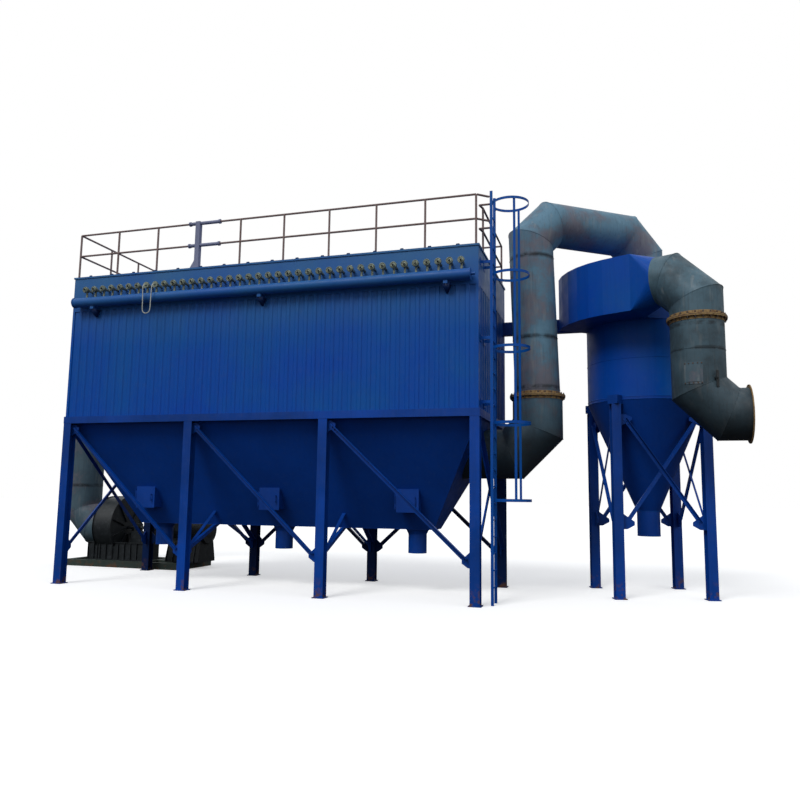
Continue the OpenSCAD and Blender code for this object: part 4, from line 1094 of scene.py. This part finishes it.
class DUST_OT_fan(bpy.types.Operator):
    """Dress the fan set: motor fins, cowl and terminal box, base frame, volute and its ribs"""
    bl_idname = "dust.fan"
    bl_label = "Dress the fan set"

    def execute(self, context):
        motor_low, motor_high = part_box("fan_motor")
        x0, x1 = motor_low.x, motor_high.x
        host = new_piece("motor_fins", [((x0 + x1) / 2 - 0.06, FAN_Y, SHAFT_Z)], [])
        grown(host, "fins", {"Count": 44, "Ring radius": 0.385, "Fin length": x1 - x0 - 0.36,
                             "Fin depth": 0.036, "Material": FINISHES["fan"]})
        finish_piece(host, None)
        cowl = lathe([(0.396, 0), (0.404, 0.01), (0.404, 0.2), (0.36, 0.232), (0.1, 0.24)], 48,
                     (x1 - 0.236, FAN_Y, SHAFT_Z), (1, 0, 0))
        shield = lathe([(0.2, 0), (0.36, 0.006), (0.402, 0.02), (0.402, 0.09), (0.388, 0.1)], 48,
                       (x0 - 0.008, FAN_Y, SHAFT_Z), (1, 0, 0))
        box = bar((x0 + 0.42, FAN_Y - 0.52, SHAFT_Z - 0.02),
                  (x0 + 0.74, FAN_Y - 0.36, SHAFT_Z + 0.24))
        lid = bar((x0 + 0.405, FAN_Y - 0.536, SHAFT_Z - 0.035),
                  (x0 + 0.755, FAN_Y - 0.52, SHAFT_Z + 0.255))
        fitted("motor_trim", [cowl, shield, box, lid], "fan", 35)
        # A motor bed with gussets under the frame
        mid = Vector((0, FAN_Y, 0))
        bed = swept([(mid + ACROSS * x, Vector((0, 1, 0)), UP)
                     for x in (x0 + 0.1, x1 - 0.06)],
                    [(-0.44, 0.18), (0.44, 0.18), (0.44, 0.24), (0.33, 0.76), (-0.33, 0.76),
                     (-0.44, 0.24)])
        gussets = [block((x, x + 0.014, FAN_Y - 0.50, FAN_Y, 0.18),
                         (x, x + 0.014, FAN_Y - 0.35, FAN_Y, 0.74))
                   for x in (x0 + 0.1 + 0.22 * i for i in range(5))]
        # A ribbed base frame in front of the casing's pedestal
        front, left, right, low, high = FAN_Y - 0.63, -2.36, -0.50, 0.2, 0.66
        frame_bars = [bar((left, front, z), (right, front + 0.05, z + 0.02))
                      for z in (low - 0.02, high)]
        frame_bars.append(bar((left + 0.01, front + 0.035, low),
                              (right - 0.01, front + 0.043, high)))
        frame_bars += [bar((x, front, low), (x + 0.014, front + 0.035, high))
                       for x in (left + 0.205 * i for i in range(10))]
        fitted("fan_base", [bed, *gussets, *frame_bars], "fan", 25)
        # The volute's rolled back, 6 mm proud, between the two flanged side plates
        half = CASING_W / 2
        spiral = [(mid + Vector((FAN_X, y, SHAFT_Z + CASING_R)), ACROSS, UP)
                  for y in (0.88, 0.4)]

        def from_top(degrees):
            """Way out of the casing's axis, by degrees from the top towards the front."""
            t = math.radians(degrees)
            return Vector((0, -math.sin(t), math.cos(t)))

        for a in range(0, VOLUTE_END + 1, 3):
            out = from_top(a)
            spiral.append((mid + Vector((FAN_X, 0, SHAFT_Z))
                           + out * (CASING_R - a * VOLUTE_FALL), ACROSS, out))
        wrap = swept(spiral, [(-half - 0.012, -0.04), (-half - 0.012, 0.035), (-half, 0.035),
                              (-half, 0.006), (half, 0.006), (half, 0.035),
                              (half + 0.012, 0.035), (half + 0.012, -0.04)])
        # Flat stiffening ribs on both sides of the volute
        ribs = []
        for side, start in ((-1, 0.54), (1, 0.2)):
            for a in range(35, 330, 36):
                out = from_top(a)
                reach = CASING_R - min(a, VOLUTE_END) * VOLUTE_FALL - 0.03
                hub = mid + Vector((FAN_X + side * half, 0, SHAFT_Z))
                ribs.append(swept([(hub + out * r, ACROSS * side, out.cross(ACROSS))
                                   for r in (start, reach)],
                                  [(0, -0.006), (0.045, -0.006), (0.045, 0.006), (0, 0.006)]))
        eye = tube(CLEAN_D / 2, CLEAN_D / 2 + 0.05, 0.02, 64,
                   (FAN_X - half - 0.02, FAN_Y, SHAFT_Z), ACROSS)
        fitted("volute_skin", [wrap, eye, *ribs], "fan", 30)
        return {"FINISHED"}


class DUST_OT_stage(bpy.types.Operator):
    """Lay the pale floor, set the soft lamps and place the camera"""
    bl_idname = "dust.stage"
    bl_label = "Set the stage"

    def execute(self, context):
        scene = context.scene
        sizes, colours = scene.dust_sizes, scene.dust_paint
        corners = [(-140, -110, 0), (160, -110, 0), (160, 190, 0), (-140, 190, 0)]
        floor = new_piece("floor", corners, [[0, 1, 2, 3]])
        material, tree = new_material("pale studio floor")
        seen = add(tree, "ShaderNodeLightPath").outputs["Is Camera Ray"]
        shade = made(tree, "ShaderNodeBsdfDiffuse", {"Color": rgba(colours.floor)})
        glow = made(tree, "ShaderNodeEmission", {"Color": (1, 1, 1, 1), "Strength": 0.42})
        both = made(tree, "ShaderNodeAddShader", {0: shade, 1: glow})
        # What the plant itself sees below it is the dark yard of the photo
        yard = made(tree, "ShaderNodeBsdfDiffuse", {"Color": rgba(colours.yard)})
        chosen = made(tree, "ShaderNodeMixShader", {0: seen, 1: yard, 2: both})
        add(tree, "ShaderNodeOutputMaterial", {0: chosen})
        floor.data.materials.append(material)

        world = bpy.data.worlds.new("white surround")
        scene.world = world
        world.use_nodes = True
        tree = world.node_tree
        tree.nodes.clear()
        rays = add(tree, "ShaderNodeLightPath").outputs
        even = made(tree, "ShaderNodeBackground", {"Color": rgba(rgb("#eef2fa")),
                                                   "Strength": sizes.sky})
        # Glossy paint mirrors a sky that is dark at the horizon and bright above 20 degrees
        way = add(tree, "ShaderNodeTexCoord").outputs["Generated"]
        rise = add(tree, "ShaderNodeSeparateXYZ", {0: way}).outputs[2]
        dome = made(tree, "ShaderNodeBackground", {
            "Color": rgba(rgb("#e6e8ea")),
            "Strength": ranged(tree, rise, 0.06, 0.36, 0.04, 1.15)})
        lit = made(tree, "ShaderNodeMixShader", {0: rays["Is Glossy Ray"], 1: even, 2: dome})
        white = made(tree, "ShaderNodeBackground", {"Color": (1, 1, 1, 1), "Strength": 1.0})
        chosen = made(tree, "ShaderNodeMixShader", {0: rays["Is Camera Ray"], 1: lit, 2: white})
        add(tree, "ShaderNodeOutputWorld", {0: chosen})

        for name, strength, angle, aim in (("key", sizes.sun, 25, (0.35, 1.0, -1.05)),
                                           ("fill", sizes.sun * 0.25, 60, (-0.8, 0.5, -0.5))):
            lamp = bpy.data.lights.new(name, "SUN")
            lamp.energy = strength
            lamp.angle = math.radians(angle)
            holder = bpy.data.objects.new(name, lamp)
            holder.rotation_euler = Vector(aim).to_track_quat("-Z", "Y").to_euler()
            scene.collection.objects.link(holder)

        lens = bpy.data.cameras.new("camera")
        lens.lens, lens.sensor_width = sizes.lens, 36
        lens.clip_end = 400
        camera = bpy.data.objects.new("camera", lens)
        yaw, pitch, roll = (math.radians(a) for a in CAMERA_TURN)
        ahead = Vector((-math.sin(yaw) * math.cos(pitch), math.cos(yaw) * math.cos(pitch),
                        math.sin(pitch)))
        right = Vector((math.cos(yaw), math.sin(yaw), 0))
        up = right.cross(ahead)
        right, up = (right * math.cos(roll) + up * math.sin(roll),
                     up * math.cos(roll) - right * math.sin(roll))
        turn = Matrix((right, up, -ahead)).transposed().to_4x4()
        camera.matrix_world = Matrix.Translation(CAMERA_AT) @ turn
        scene.collection.objects.link(camera)
        scene.camera = camera
        scene.view_settings.view_transform = "Standard"
        return {"FINISHED"}


class DUST_PT_sidebar(bpy.types.Panel):
    bl_label = "Dust collector"
    bl_idname = "DUST_PT_sidebar"
    bl_space_type = "VIEW_3D"
    bl_region_type = "UI"
    bl_category = "Dust collector"

    def draw(self, context):
        for group in (context.scene.dust_paint, context.scene.dust_sizes):
            column = self.layout.column(align=True)
            for key in group.__annotations__:
                column.prop(group, key)
        for operator in OPERATORS:
            self.layout.operator(operator.bl_idname)


OPERATORS = (DUST_OT_stage, DUST_OT_finishes, DUST_OT_hose, DUST_OT_ducts, DUST_OT_flange_bolts,
             DUST_OT_access_plate, DUST_OT_small_plates, DUST_OT_anchors, DUST_OT_brace_bolts,
             DUST_OT_valves, DUST_OT_welds, DUST_OT_fan)
CLASSES = (PaintSettings, SizeSettings, *OPERATORS, DUST_PT_sidebar)


def register():
    for cls in CLASSES:
        bpy.utils.register_class(cls)
    bpy.types.Scene.dust_paint = bpy.props.PointerProperty(type=PaintSettings)
    bpy.types.Scene.dust_sizes = bpy.props.PointerProperty(type=SizeSettings)


def unregister():
    del bpy.types.Scene.dust_sizes
    del bpy.types.Scene.dust_paint
    for cls in reversed(CLASSES):
        bpy.utils.unregister_class(cls)


def main():
    register()
    bpy.ops.dust.stage()
    bpy.ops.dust.finishes()
    bpy.ops.dust.hose()
    bpy.ops.dust.ducts()
    bpy.ops.dust.flange_bolts()
    bpy.ops.dust.access_plate()
    bpy.ops.dust.small_plates()
    bpy.ops.dust.anchors()
    bpy.ops.dust.brace_bolts()
    bpy.ops.dust.valves()
    bpy.ops.dust.welds()
    bpy.ops.dust.fan()


if __name__ == "__main__":
    main()
